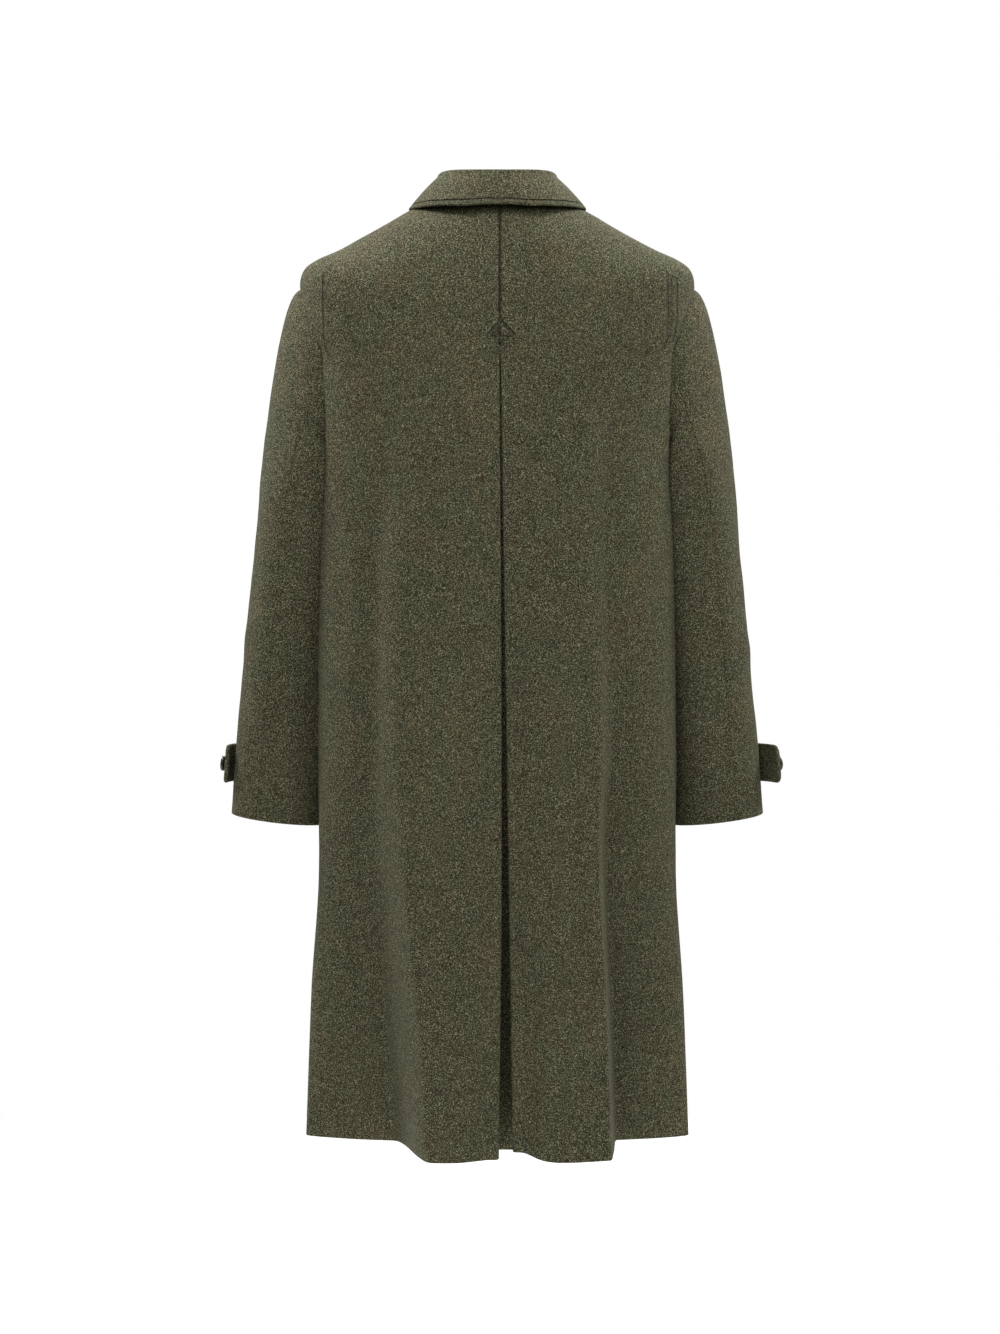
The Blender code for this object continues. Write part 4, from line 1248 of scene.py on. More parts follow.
# %% Creases of the sleeves
SLEEVE_CREASES = {
    1: (
        Crease(((182, -300), (128, -268), (96, -250)), 7, -2.6),
        Crease(((186, -332), (120, -296), (70, -282)), 8, 2.2),
        Crease(((188, -352), (136, -326), (92, -318)), 7, -2.2),
        Crease(((186, -392), (132, -378), (80, -384)), 9, 1.8),
        Crease(((184, -430), (140, -424), (96, -440)), 8, -2.0),
        Crease(((160, -230), (150, -320), (142, -430)), 12, -6.0),
        Crease(((130, -440), (126, -590), (122, -720)), 24, -4.6),
        Crease(((70, -470), (20, -500), (-60, -520)), 16, 1.4),
        Crease(((-60, -455), (-110, -440), (-170, -446)), 8, -2.8),
        Crease(((-50, -480), (-110, -470), (-176, -478)), 9, 2.2),
        Crease(((-54, -510), (-108, -506), (-172, -516)), 8, -2.4),
        Crease(((150, -560), (90, -590), (40, -640)), 14, -1.6),
        Crease(((60, -250), (64, -400), (58, -560)), 22, 1.3),
        Crease(((10, -330), (4, -450), (-10, -600)), 16, -1.3),
        Crease(((-120, -300), (-160, -330), (-190, -350)), 8, -2.4),
    ),
    -1: (
        Crease(((184, -296), (132, -262), (100, -246)), 7, -2.4),
        Crease(((188, -326), (124, -292), (76, -276)), 8, 2.4),
        Crease(((186, -358), (128, -338), (84, -330)), 8, -2.4),
        Crease(((184, -410), (130, -400), (76, -412)), 9, 2.0),
        Crease(((186, -446), (136, -446), (90, -466)), 8, -2.2),
        Crease(((162, -225), (152, -320), (145, -440)), 14, -8.0),
        Crease(((141, -450), (137, -590), (134, -720)), 17, -3.6),
        Crease(((64, -480), (14, -512), (-64, -530)), 15, 1.3),
        Crease(((-62, -448), (-112, -436), (-172, -440)), 8, -2.6),
        Crease(((-54, -476), (-112, -466), (-178, -470)), 9, 2.3),
        Crease(((-50, -508), (-110, -500), (-174, -508)), 8, -2.3),
        Crease(((154, -548), (96, -580), (46, -632)), 14, -1.7),
        Crease(((66, -240), (70, -390), (60, -550)), 20, 1.4),
        Crease(((14, -340), (8, -460), (-6, -600)), 16, -1.2),
        Crease(((-118, -296), (-158, -324), (-188, -344)), 8, -2.2),
    ),
}
SLEEVE_UNEVEN = ((120.0, 1.5), (46.0, 0.8), (20.0, 0.25))
print("Creases on the sleeves:", len(SLEEVE_CREASES[1]) + len(SLEEVE_CREASES[-1]))

# %% Make the sleeves
SLEEVE_SEED = 9
CUFF_CALM = 0.25
CUFF_ROWS = Ramp(0, 14.0)


def sleeve_across(grid):
    """Signed distance round the sleeve from its outer line; towards the back is positive."""
    lengths = walk(np.concatenate([grid, grid[:, :1]], axis=1))
    total = lengths[:, -1:]
    run = lengths[:, :-1]
    return np.where(run <= total / 2.0, run, run - total)


for hand, name in NAMES.items():
    base, out, degrees = sleeve_grid(hand)
    base = relaxed(base)
    normals = sleeve_normals(base, out, degrees)
    height = crease_height(sleeve_across(base), base[..., 2], SLEEVE_CREASES[hand])
    height += unevenness(base, SLEEVE_SEED + hand, SLEEVE_UNEVEN)
    row = np.arange(len(base))
    calm = CUFF_CALM + (1.0 - CUFF_CALM) * climb(len(base) - 1 - row, CUFF_ROWS)
    full = base + normals * (height * (climb(row, HEAD_ROWS) * calm)[:, None])[..., None]
    normals = sleeve_normals(full, out, degrees)
    cuts = (
        ("sleeve_under_", list(range(BACK_SEAM, FRONT_SEAM + 1))),
        ("sleeve_top_", list(range(FRONT_SEAM, RING)) + list(range(BACK_SEAM + 1))),
    )
    for title, columns in cuts:
        key = title + name
        CLOTHS[key] = cloth_shell(
            "cloth_" + key, full[:, columns], normals[:, columns], hand, CLOTH, inside_out=True
        )

# %% [markdown]
# ## The collar
# The collar is two pieces. The stand rises from the neck seam, and the fall starts above it,
# rolls over and comes down outside it. The fall is stiffened, so its top runs nearly level
# across the back and it stays clear of the shoulders.

# %% Collar forms
Collar = namedtuple("Collar", "wide deep fore side back front")
NECK = Collar(75.2, 71.2, 77.2, 0.7, -7.3, -69.3)
ROLL = Collar(62.5, 68.5, 74, 26.4, 20.2, -47)
COLLAR_END = 174.0
COLLAR_COLUMNS = 190
ROLL_RADIUS = 4.6
ROLL_ROWS = 14
FALL_ROWS = 26
FALL_BULGE = 1.5
FALL_CLOTH = 2.9
SEAM_GAP = 0.3
ROLL_SQUARE = 2.3
HALVINGS = 30
Edge = namedtuple("Edge", "turn x y rise")
FALL_EDGE = (
    Edge(0, 0, 95, 20.2),
    Edge(-25, 40, 92, 20.3),
    Edge(-50, 73, 74, 12.9),
    Edge(-72, 93, 47, 4.8),
    Edge(-88, 101, 20, 3.2),
    Edge(-105, 102, -12, 4.8),
    Edge(-125, 96, -46, 9),
    Edge(-145, 83, -77, 13),
    Edge(-160, 68, -97, 15),
    Edge(-174, 50, -107, 16),
)


def collar_ring(table, turns, square=2.0):
    """Points of a ring of the collar and the way out from it in plan."""
    across = np.sin(turns)
    along = np.cos(turns)
    behind = along > 0
    reach = np.where(behind, table.deep, table.fore)
    middle = np.where(behind, table.back, table.front)
    x = table.wide * np.sign(across) * np.abs(across) ** (2.0 / square)
    y = reach * np.sign(along) * np.abs(along) ** (2.0 / square)
    z = table.side + (middle - table.side) * along**2
    out = np.stack([across / table.wide, along / reach, np.zeros(len(turns))], axis=-1)
    return np.stack([x, y, z], axis=-1), unit(out)


def shoulder_height(x, y):
    """Height of the shoulders over places in plan, found by halving between girths."""
    upper = np.zeros(len(x))
    lower = np.full(len(x), ARMHOLE_TOP)
    behind = y > 0
    for step in range(HALVINGS):
        side = (upper + lower) / 2.0
        square = blend(GIRTHS, side, "square")
        reach = np.where(behind, blend(GIRTHS, side, "deep"), blend(GIRTHS, side, "fore"))
        along = (np.abs(y) / reach) ** square
        outside = (np.abs(x) / blend(GIRTHS, side, "wide")) ** square + along > 1.0
        upper = np.where(outside, side, upper)
        lower = np.where(outside, lower, side)
    middle = np.where(behind, blend(GIRTHS, side, "back"), blend(GIRTHS, side, "front"))
    return side + (middle - side) * along


def fall_edge(turns):
    """Points of the fall's lower edge."""
    at = -np.abs(np.degrees(turns))
    x = blend(FALL_EDGE, at, "x")
    y = blend(FALL_EDGE, at, "y")
    z = shoulder_height(x, y) + blend(FALL_EDGE, at, "rise")
    return np.stack([np.copysign(x, turns), y, z], axis=-1)


collar_turns = np.radians(np.linspace(-COLLAR_END, COLLAR_END, COLLAR_COLUMNS))
print("Collar columns:", COLLAR_COLUMNS)

# %% Make the collar
STAND_ROWS = 12
COLLAR_ROW = 6.0
COLLAR_ROW_REACH = 22.0
COLLAR_SEED = 21
COLLAR_UNEVEN = ((60.0, 0.7), (22.0, 0.2))
WAVER_ROWS = Ramp(ROLL_ROWS, 8.0)

low, _ = collar_ring(NECK, collar_turns)
high, roll_out = collar_ring(ROLL, collar_turns, ROLL_SQUARE)
high_seam = high - np.array([0, 0, SEAM_GAP])
shares = np.linspace(1.0, 0.0, STAND_ROWS)[:, None, None]
stand = low[None] + (high_seam - low)[None] * shares
CLOTHS["collar_stand"] = cloth_shell("cloth_collar_stand", stand, normals_of(stand))

fall_rows = []
for degrees in np.linspace(180.0, 0.0, ROLL_ROWS):
    angle = math.radians(degrees)
    out = ROLL_RADIUS - CLOTH + ROLL_RADIUS * math.cos(angle)
    fall_rows.append(high + roll_out * out + np.array([0, 0, ROLL_RADIUS * math.sin(angle)]))
rolled = fall_rows[-1]
edge = fall_edge(collar_turns)
for share in np.linspace(0.0, 1.0, FALL_ROWS + 1)[1:]:
    bulge = unit(roll_out + np.array([0, 0, 1.0])) * FALL_BULGE * math.sin(math.pi * share)
    fall_rows.append(rolled + (edge - rolled) * share + bulge)
fall = np.stack(fall_rows)
fall_normals = normals_of(fall)
waver = unevenness(fall, COLLAR_SEED, COLLAR_UNEVEN)
waver *= climb(np.arange(len(fall)), WAVER_ROWS)[:, None]
fall = fall + fall_normals * waver[..., None]
fall_normals = normals_of(fall)
fall_edge_gap = walk(fall[::-1].swapaxes(0, 1)).T[::-1]
fall_marks = np.where(fall_edge_gap < COLLAR_ROW_REACH, fall_edge_gap - COLLAR_ROW, NO_ROW)
CLOTHS["collar_fall"] = cloth_shell(
    "cloth_collar_fall", fall, fall_normals, 1, FALL_CLOTH, fall_marks
)

# %% [markdown]
# ## Cuff tabs
# A pointed strap, two layers thick and stitched round its edge, is sewn on at the front of
# each sleeve and buttons near its outer side. Its loose end stands away from the sleeve.

# %% Make the cuff tabs
TAB_CLOTH = 4.0
TAB_MIDDLE = -652.0
TAB_HALF_HEIGHT = 22.0
TAB_START = -75.0
TAB_FINISH = 24.0
TAB_OFF = 0.6
TAB_POINT = 0.83
TAB_NARROWING = 0.8
TAB_LIFT = Ramp(0.5, 0.55)
TAB_LIFTS = {1: 10.0, -1: 24.0}
TAB_COLUMNS = 70
TAB_ROWS = 21
TAB_ROW = 4.5


def sleeve_point(z, degrees):
    """Points of the lower sleeve's outer face and the way out from it."""
    angle = np.radians(degrees)
    along_x = np.cos(angle) / blend(SECTIONS, z, "wide")
    along_y = np.sin(angle) / blend(SECTIONS, z, "deep")
    out = unit(np.stack([along_x, along_y, np.zeros_like(along_x)], axis=-1))
    return sleeve_at(z, angle), out


def tab_points(hand, share, level):
    """Points of a tab's outer face; share runs to its point, level across it."""
    share, level = np.broadcast_arrays(np.asarray(share, float), np.asarray(level, float))
    narrow = np.maximum(share - TAB_POINT, 0.0) / (1.0 - TAB_POINT)
    half = TAB_HALF_HEIGHT * (1.0 - TAB_NARROWING * narrow**2)
    degrees = TAB_START + (TAB_FINISH - TAB_START) * share
    place, out = sleeve_point(TAB_MIDDLE + half * level, degrees)
    lift = TAB_LIFTS[hand] * climb(share, TAB_LIFT)
    return place + out * (TAB_CLOTH + TAB_OFF + lift)[..., None]


for hand, name in NAMES.items():
    shares = np.linspace(0.0, 1.0, TAB_COLUMNS)[None, :]
    levels = np.linspace(1.0, -1.0, TAB_ROWS)[:, None]
    grid = tab_points(hand, shares, levels)
    normals = -normals_of(grid)
    to_side = (1.0 - np.abs(levels)) * TAB_HALF_HEIGHT * np.ones_like(shares)
    length = np.linalg.norm(np.diff(grid[TAB_ROWS // 2], axis=0), axis=1).sum()
    to_end = np.minimum(shares, 1.0 - shares) * length * np.ones_like(levels)
    marks = np.minimum(to_side, to_end) - TAB_ROW
    key = "cuff_tab_" + name
    CLOTHS[key] = cloth_shell("cloth_" + key, grid, normals, hand, TAB_CLOTH, marks, True)
    print(key, "is", round(float(length)), "mm long")

# %% [markdown]
# ## Stitches
# A row of stitches is one short piece of thread repeated along a path, which is what Geometry
# Nodes do best. The tree turns a path into a curve, spaces points along it, and puts a small
# spindle of thread on each one. The path carries two directions at every point: the way the
# stitch runs, and the way out of the cloth. The same tree sews the rows, where the thread
# follows the path, and the buttonholes, where it crosses it.

# %% The sewing tree
SPINDLE = {"Segments": 6, "Rings": 4, "Radius": 0.5}
STITCH_SIZES = {"Min": 0.88, "Max": 1.08}

sewing, sew_in, sew_out = new_group("Sewing", "GeometryNodeTree", [
    ("Geometry", "INPUT", "Geometry"),
    ("Pitch", "INPUT", "Float"),
    ("Length", "INPUT", "Float"),
    ("Thickness", "INPUT", "Float"),
    ("Seed", "INPUT", "Int"),
    ("Thread", "INPUT", "Material"),
    ("Geometry", "OUTPUT", "Geometry"),
])
inputs = [item for item in sewing.interface.items_tree if item.in_out == "INPUT"]
SEWING_INPUTS = {item.name: item.identifier for item in inputs}


def stored_way(title):
    """The direction stored on a path under a title."""
    kind = "GeometryNodeInputNamedAttribute"
    return new_node(sewing, kind, {"Name": title}, data_type="FLOAT_VECTOR")


as_curve = new_node(sewing, "GeometryNodeMeshToCurve")
spaced = new_node(sewing, "GeometryNodeResampleCurve", mode="LENGTH")
spindle = new_node(sewing, "GeometryNodeMeshUVSphere", SPINDLE)
turning = new_node(sewing, "FunctionNodeAxesToRotation", primary_axis="X", secondary_axis="Z")
size = new_node(sewing, "ShaderNodeCombineXYZ")
vary = new_node(sewing, "FunctionNodeRandomValue", STITCH_SIZES, data_type="FLOAT")
scaled = new_node(sewing, "ShaderNodeVectorMath", operation="SCALE")
sewn = new_node(sewing, "GeometryNodeInstanceOnPoints")
real = new_node(sewing, "GeometryNodeRealizeInstances")
painted = new_node(sewing, "GeometryNodeSetMaterial")
link_nodes(sewing, [
    ((sew_in, "Geometry"), (as_curve, "Mesh")),
    ((as_curve, "Curve"), (spaced, "Curve")),
    ((sew_in, "Pitch"), (spaced, "Length")),
    ((stored_way("way"), "Attribute"), (turning, "Primary Axis")),
    ((stored_way("out"), "Attribute"), (turning, "Secondary Axis")),
    ((sew_in, "Length"), (size, "X")),
    ((sew_in, "Thickness"), (size, "Y")),
    ((sew_in, "Thickness"), (size, "Z")),
    ((size, "Vector"), (scaled, "Vector")),
    ((spaced, "Curve"), (sewn, "Points")),
    ((spindle, "Mesh"), (sewn, "Instance")),
    ((turning, "Rotation"), (sewn, "Rotation")),
    ((scaled, "Vector"), (sewn, "Scale")),
    ((sewn, "Instances"), (real, "Geometry")),
    ((real, "Geometry"), (painted, "Geometry")),
    ((sew_in, "Thread"), (painted, "Material")),
    ((painted, "Geometry"), (sew_out, "Geometry")),
    ((sew_in, "Seed"), (vary, "Seed")),
])
random_size = [out for out in vary.outputs if out.enabled][0]
sewing.links.new(random_size, scaled.inputs["Scale"])
print("Nodes in the sewing tree:", len(sewing.nodes))

# %% Sew along paths
STITCH = 3.1
PITCH = 4.0
THREAD_WIDTH = 0.62
SINK = 0.12
PATH_STEP = 2.0
Path = namedtuple("Path", "points closed cloth crossing")


def densely(points, closed):
    """A path with its points evened out to about one step apart."""
    points = np.asarray(points, float)
    if closed:
        points = np.concatenate([points, points[:1]])
    run = walk(points)
    even = np.linspace(0.0, run[-1], max(int(run[-1] / PATH_STEP), 2) + 1)
    return np.stack([np.interp(even, run, points[:, k]) for k in range(3)], axis=-1)


def laid_on(cloth, points):
    """Points moved onto the nearest place of a cloth, with its ways out."""
    places = []
    outs = []
    for point in points:
        found, place, out, face = cloth.closest_point_on_mesh(Vector(point) * MM)
        places.append(place / MM)
        outs.append(out)
    return np.array(places), np.array(outs)


def guide_mesh(name, paths):
    """A mesh of bare edges along some paths, with the two directions on its points."""
    points, edges, ways_on, outs_on = [], [], [], []
    for path in paths:
        places, outs = laid_on(path.cloth, densely(path.points, path.closed))
        tangents = unit(np.gradient(places, axis=0))
        if path.crossing:
            tangents = unit(np.cross(outs, tangents))
        start = len(points)
        points.extend(places - outs * SINK)
        ways_on.extend(tangents)
        outs_on.extend(outs)
        edges.extend((start + i, start + i + 1) for i in range(len(places) - 1))
    mesh = bpy.data.meshes.new(name)
    mesh.from_pydata((np.array(points) * MM).tolist(), edges, [])
    for title, values in (("way", ways_on), ("out", outs_on)):
        kept = mesh.attributes.new(title, "FLOAT_VECTOR", "POINT")
        kept.data.foreach_set("vector", np.array(values, dtype=np.float32).ravel())
    return mesh


def sew(name, paths, pitch=PITCH, length=STITCH, width=THREAD_WIDTH, seed=1):
    """One plain mesh of all the stitches along some paths."""
    guide = placed(name + "_guide", guide_mesh(name, paths))
    modifier = guide.modifiers.new("Sewing", "NODES")
    modifier.node_group = sewing
    modifier[SEWING_INPUTS["Pitch"]] = pitch * MM
    modifier[SEWING_INPUTS["Length"]] = length * MM
    modifier[SEWING_INPUTS["Thickness"]] = width * MM
    modifier[SEWING_INPUTS["Seed"]] = seed
    modifier[SEWING_INPUTS["Thread"]] = thread
    graph = bpy.context.evaluated_depsgraph_get()
    plain = bpy.data.meshes.new_from_object(guide.evaluated_get(graph))
    plain.name = name
    plain.shade_smooth()
    bpy.data.objects.remove(guide, do_unlink=True)
    print(name, "has", len(plain.polygons), "faces")
    return placed(name, plain)


def mirrored(points, hand):
    """Points of the left half, put on the side they belong to."""
    points = np.array(points, float)
    points[:, 0] *= hand
    return points


print("Sewing helpers ready")

# %% [markdown]
# The rows go where a maker puts them: down the back panels beside the loose armhole edges,
# inside the edge of the collar, along both front edges, round the tabs, and round the small
# triangle that holds the top of the pleat.

# %% Sew the back panels and the collar
ROW_START = 8.0
ROW_STEP = 6.0
GUIDE_OFF = 1.0
FAR = 1000
THREADS = []


def wing_line(path, grid):
    """Places just off a back panel, down one of its rows."""
    line = []
    for z in np.arange(path[0][0] - ROW_START, path[-1][0], -ROW_STEP):
        x = float(row_across(path, z))
        gap = np.hypot(grid[..., 0] - x, grid[..., 2] - z) + np.where(grid[..., 1] > 0, 0, FAR)
        near = np.unravel_index(np.argmin(gap), gap.shape)
        line.append((x, grid[near][1] + GUIDE_OFF, z))
    return line


def at_distance(grid, distances, level):
    """Points down the columns of a grid where a distance falls to one level."""
    found = []
    for j in range(grid.shape[1]):
        column = distances[::-1, j]
        found.append([np.interp(level, column, grid[::-1, j, k]) for k in range(3)])
    return np.array(found)


wing_paths = []
for hand, name in NAMES.items():
    cloth = CLOTHS["back_" + name]
    for path in WING_ROWS[hand]:
        line = wing_line(path, GRIDS["back_" + name][HOLE])
        wing_paths.append(Path(mirrored(line, hand), False, cloth, False))
THREADS.append(sew("stitches_wings", wing_paths, seed=2))
collar_line = at_distance(fall, fall_edge_gap, COLLAR_ROW)[2:-2]
collar_path = Path(collar_line, False, CLOTHS["collar_fall"], False)
THREADS.append(sew("stitches_collar", [collar_path], seed=3))

# %% Sew the fronts and the tabs
TAB_ROW_ENDS = (0.045, 0.95)
TAB_ROW_LEVEL = 0.79
TAB_ROW_POINTS = 30

front_paths = []
for hand, name in NAMES.items():
    grid = GRIDS["front_" + name]
    edge_gap = -run_along(grid, grid.shape[1] - 1)
    line = at_distance(grid.swapaxes(0, 1), edge_gap.T, FRONT_ROW)[2:-3]
    front_paths.append(Path(mirrored(line, hand), False, CLOTHS["front_" + name], False))
THREADS.append(sew("stitches_fronts", front_paths, seed=4))

tab_paths = []
for hand, name in NAMES.items():
    ring = []
    for ends, level in ((TAB_ROW_ENDS, TAB_ROW_LEVEL), (TAB_ROW_ENDS[::-1], -TAB_ROW_LEVEL)):
        ring.extend(tab_points(hand, np.linspace(*ends, TAB_ROW_POINTS), level))
    tab_paths.append(Path(mirrored(ring, hand), True, CLOTHS["cuff_tab_" + name], False))
THREADS.append(sew("stitches_tabs", tab_paths, seed=5))

# %% The tack at the top of the pleat
TACK_PITCH = 2.2
TACK_STITCH = 2.0
TACK_WIDTH = 1.1
TACK_POINTS = 24
TACK_LEAST = 3
BEHIND = 1.0


def on_back(x, z):
    """The back panel at a distance across and a height, and its place met from behind."""
    key = "back_left" if x > SEAM_PLACE else "back_right"
    start = Vector((x * MM, BEHIND, z * MM))
    hit, place, out, face = CLOTHS[key].ray_cast(start, Vector((0, -1, 0)))
    return key, tuple(place / MM) if hit else None


tack_paths = []
for (ax, az), (bx, bz) in TACK_LINES:
    sides = {"back_left": [], "back_right": []}
    for share in np.linspace(0.0, 1.0, TACK_POINTS):
        key, spot = on_back(ax + (bx - ax) * share, az + (bz - az) * share)
        if spot:
            sides[key].append(spot)
    for key, spots in sides.items():
        if len(spots) > TACK_LEAST:
            tack_paths.append(Path(spots, False, CLOTHS[key], False))
THREADS.append(sew("stitches_tack", tack_paths, TACK_PITCH, TACK_STITCH, TACK_WIDTH, seed=6))

# %% [markdown]
# ## Buttons and buttonholes
# The buttons are turned horn with a raised rim and four holes. A turned outline is spun into
# a solid, and four small drills are taken away from it, once. The same mesh is then set at
# each place. Two short threads cross each button, and a whipped slit lies under it.

# %% One horn button
BUTTON_PROFILE = (
    (0.0, 0.66),
    (0.30, 0.66),
    (0.52, 0.68),
    (0.66, 0.78),
    (0.76, 0.98),
    (0.86, 1.0),
    (0.95, 0.90),
    (1.0, 0.62),
    (0.98, 0.34),
    (0.92, 0.12),
    (0.80, 0.0),
    (0.0, 0.0),
)
BUTTON_SIDES = 56
HOLE_PLACE = 0.2
HOLE_SIZE = 0.085
HOLE_SIDES = 16
DRILL_TOP = 1.6
DRILL_TIP = -0.6


def turned_mesh(name, profile, sides):
    """A closed mesh spun from an outline that starts and ends on the axis."""
    points = [(0.0, 0.0, profile[0][1])]
    for across, up in profile[1:-1]:
        for step in range(sides):
            angle = 2.0 * math.pi * step / sides
            points.append((across * math.cos(angle), across * math.sin(angle), up))
    points.append((0.0, 0.0, profile[-1][1]))
    last = len(points) - 1
    faces = []
    for step in range(sides):
        following = (step + 1) % sides
        faces.append((0, 1 + step, 1 + following))
        for ring in range(len(profile) - 3):
            low = 1 + ring * sides
            high = low + sides
            faces.append((low + step, high + step, high + following, low + following))
        low = 1 + (len(profile) - 3) * sides
        faces.append((low + following, low + step, last))
    mesh = bpy.data.meshes.new(name)
    mesh.from_pydata(points, [], faces)
    mesh.materials.append(horn)
    return mesh


def drilled_button():
    """A button of radius one and thickness one with four holes."""
    blank = placed("blank", turned_mesh("blank", BUTTON_PROFILE, BUTTON_SIDES))
    outline = ((0, DRILL_TOP), (HOLE_SIZE, DRILL_TOP), (HOLE_SIZE, DRILL_TIP), (0, DRILL_TIP))
    drills = []
    for sign_x, sign_y in ((1, 1), (1, -1), (-1, 1), (-1, -1)):
        drill = placed("drill", turned_mesh("drill", outline, HOLE_SIDES))
        drill.location = (sign_x * HOLE_PLACE, sign_y * HOLE_PLACE, 0.0)
        cut = blank.modifiers.new("Hole", "BOOLEAN")
        cut.operation = "DIFFERENCE"
        cut.solver = "EXACT"
        cut.object = drill
        drills.append(drill)
    graph = bpy.context.evaluated_depsgraph_get()
    mesh = bpy.data.meshes.new_from_object(blank.evaluated_get(graph))
    for item in drills + [blank]:
        bpy.data.objects.remove(item, do_unlink=True)
    return mesh


button_mesh = drilled_button()
print("Button faces:", len(button_mesh.polygons))

# %% Set the buttons
BUTTON_OFF = 0.7
BUTTON_THICKNESS = 4.0
FRONT_RADIUS = 12.5
FRONT_BUTTON_LINES = (-72, -187, -310, -440, -570)
CUFF_RADIUS = 9.0
CUFF_BUTTON_ANGLE = 6.0
CUFF_STEP_ALONG = 1.0 / 14.0
CUFF_STEP_ACROSS = 0.2
SHARP_DEGREES = 38
Seat = namedtuple("Seat", "key place out down radius")


def front_seats():
    """Seats of the buttons down the centre front."""
    seats = []
    for number, side in enumerate(FRONT_BUTTON_LINES, start=1):
        below = body_points(side - HALF_STEP, math.pi, 1)
        down = unit(below - body_points(side + HALF_STEP, math.pi, 1))
        out = np.array([0.0, down[2], -down[1]])
        place = body_points(side, math.pi, 1)
        seats.append(Seat(f"front_button_{number}", place, out, down, FRONT_RADIUS))
    return seats


def cuff_seats():
    """Seats of the buttons on the cuff tabs."""
    seats = []
    share = (CUFF_BUTTON_ANGLE - TAB_START) / (TAB_FINISH - TAB_START)
    for hand, name in NAMES.items():
        place = tab_points(hand, share, 0.0)
        ahead = tab_points(hand, share + CUFF_STEP_ALONG, 0.0)
        along = ahead - tab_points(hand, share - CUFF_STEP_ALONG, 0.0)
        below = tab_points(hand, share, -CUFF_STEP_ACROSS)
        down = unit(below - tab_points(hand, share, CUFF_STEP_ACROSS))
        out = unit(np.cross(down, along))
        turned = [vector * np.array([hand, 1.0, 1.0]) for vector in (place, out, down)]
        seats.append(Seat("cuff_button_" + name, *turned, CUFF_RADIUS))
    return seats


def seated(seat, mesh):
    """A copy of the button mesh at a seat, with its place in its mesh."""
    out = Vector(seat.out)
    up = -Vector(seat.down)
    side = up.cross(out).normalized()
    points = []
    for vertex in mesh.vertices:
        x, y, z = vertex.co
        spot = side * x * seat.radius + up * y * seat.radius + out * (z * BUTTON_THICKNESS)
        points.append((Vector(seat.place) + out * BUTTON_OFF + spot) * MM)
    copy = mesh.copy()
    copy.vertices.foreach_set("co", np.array(points, dtype=np.float32).ravel())
    copy.shade_smooth()
    copy.set_sharp_from_angle(angle=math.radians(SHARP_DEGREES))
    copy.update()
    return placed("horn_" + seat.key, copy)


SEATS = front_seats() + cuff_seats()
BUTTONS = {seat.key: seated(seat, button_mesh) for seat in SEATS}
print("Buttons:", len(BUTTONS))

# %% Threads over the buttons
CROSS_LENGTH = 1.12
CROSS_STEPS = 7
CROSS_HEIGHT = 0.72
BAR_RADIUS = 0.75
BAR_SIDES = 10
BAR_TIP = 0.04
SLANT = (0.31, 0.52, 0.79)


def button_threads(seat):
    """Two paths of thread from hole to hole, laid on the button."""
    side = np.cross(-seat.down, seat.out)
    paths = []
    for offset in (HOLE_PLACE, -HOLE_PLACE):
        line = []
        for share in np.linspace(-1.0, 1.0, CROSS_STEPS):
            spot = seat.place + side * offset * seat.radius
            spot = spot - seat.down * share * HOLE_PLACE * CROSS_LENGTH * seat.radius
            line.append(spot + seat.out * (BUTTON_OFF + CROSS_HEIGHT * BUTTON_THICKNESS))
        paths.append(line)
    return paths


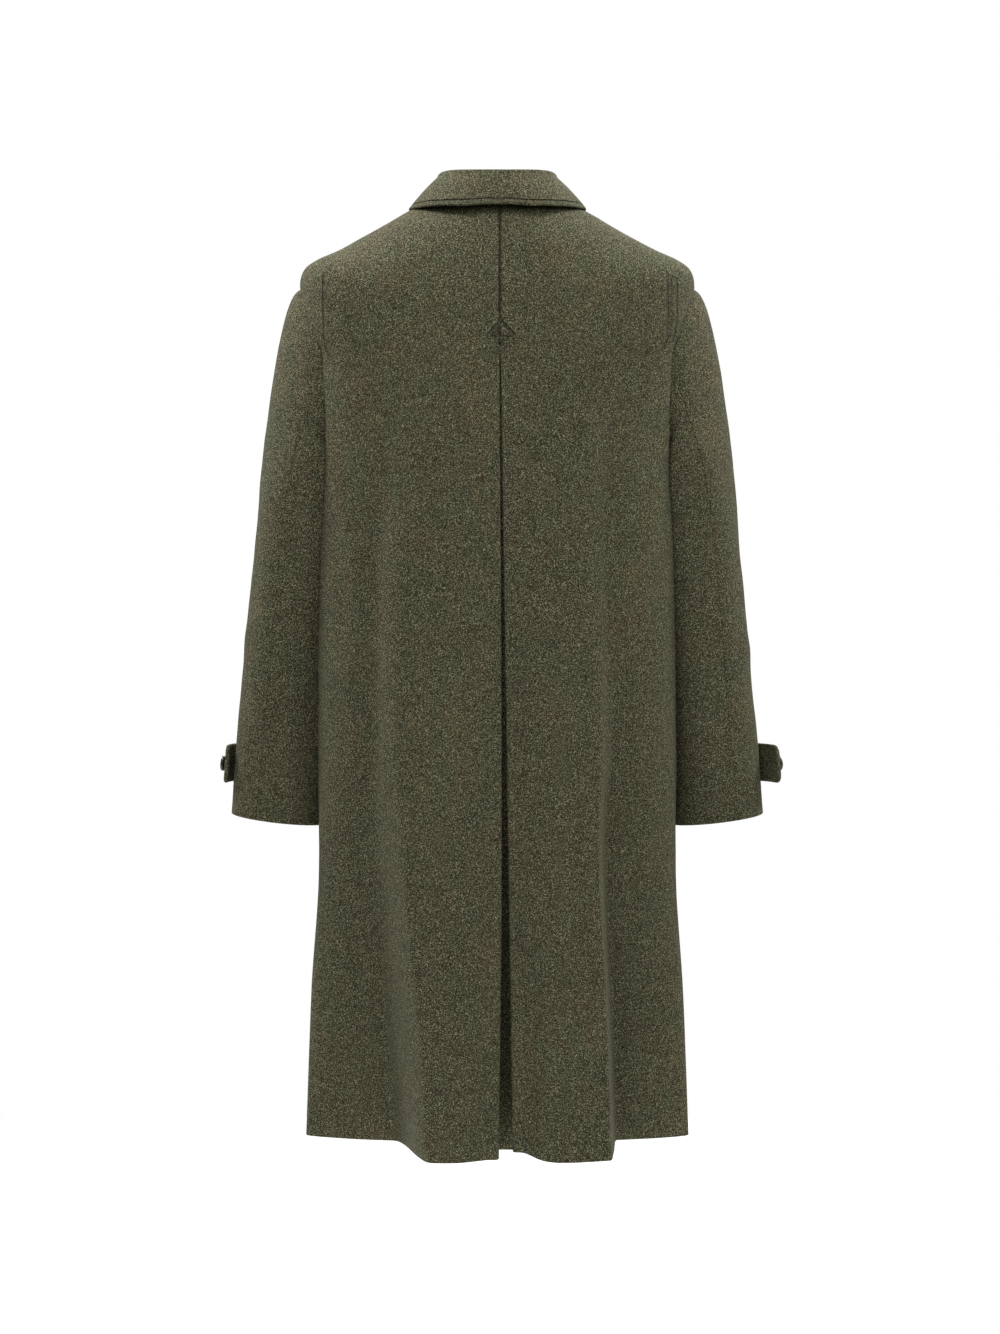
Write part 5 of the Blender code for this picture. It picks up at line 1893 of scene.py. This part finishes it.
def thread_bars(name, lines):
    """Smooth bars of thread along short lines."""
    points, faces = [], []
    for line in lines:
        ahead = unit(line[-1] - line[0])
        across = unit(np.cross(ahead, SLANT))
        other = np.cross(ahead, across)
        first = len(points)
        for step, spot in enumerate(line):
            swell = math.sqrt(max(1.0 - (2.0 * step / (len(line) - 1) - 1.0) ** 2, BAR_TIP))
            for k in range(BAR_SIDES):
                angle = 2.0 * math.pi * k / BAR_SIDES
                way = across * math.cos(angle) + other * math.sin(angle)
                points.append(spot + way * BAR_RADIUS * swell)
        for step in range(len(line) - 1):
            for k in range(BAR_SIDES):
                a = first + step * BAR_SIDES + k
                b = first + step * BAR_SIDES + (k + 1) % BAR_SIDES
                faces.append((a, b, b + BAR_SIDES, a + BAR_SIDES))
        faces.append(tuple(first + k for k in reversed(range(BAR_SIDES))))
        faces.append(tuple(len(points) - BAR_SIDES + k for k in range(BAR_SIDES)))
    return add_piece(name, points, faces, thread)


bars = []
for seat in SEATS:
    bars.extend(button_threads(seat))
THREADS.append(thread_bars("button_threads", bars))
print("Bars of thread:", len(bars))

# %% Whipped buttonholes
SLIT_START = 4.0
SLIT_END = 30.0
SLIT_BACK = 22.0
SLIT_HALF = 1.3
SLIT_POINTS = 24
WHIP_PITCH = 0.95
WHIP_STITCH = 2.6
WHIP_WIDTH = 0.7


def buttonhole(seat, cloth, hand):
    """A closed path round a slit that runs across under its button."""
    side = np.cross(-seat.down, seat.out) * hand
    ring = []
    for share in np.linspace(-1.0, 1.0, SLIT_POINTS):
        reach = SLIT_START + (SLIT_END - SLIT_START) * (share + 1.0) / 2.0
        half = SLIT_HALF * math.sqrt(max(1.0 - share**4, 0.0))
        ring.append((reach - SLIT_BACK, half))
    path = [seat.place + side * reach + seat.down * half for reach, half in ring]
    path += [seat.place + side * reach - seat.down * half for reach, half in reversed(ring[1:-1])]
    return Path([point + seat.out * GUIDE_OFF for point in path], True, cloth, True)


slits = [buttonhole(seat, CLOTHS["front_left"], -1) for seat in front_seats()]
for (hand, name), seat in zip(NAMES.items(), cuff_seats()):
    slits.append(buttonhole(seat, CLOTHS["cuff_tab_" + name], -hand))
THREADS.append(sew("whipped_buttonholes", slits, WHIP_PITCH, WHIP_STITCH, WHIP_WIDTH, seed=7))

# %% [markdown]
# ## Attach the pieces
# Every piece rides on the coat's one body and stands for its plain solid, which is hidden.

Cut = namedtuple("Cut", "width length area")


for key, cloth in CLOTHS.items():
    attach(cloth, "root")
    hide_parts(key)
for key, button in BUTTONS.items():
    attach(button, "root")
    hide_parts(key)
for piece in THREADS:
    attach(piece, "root")
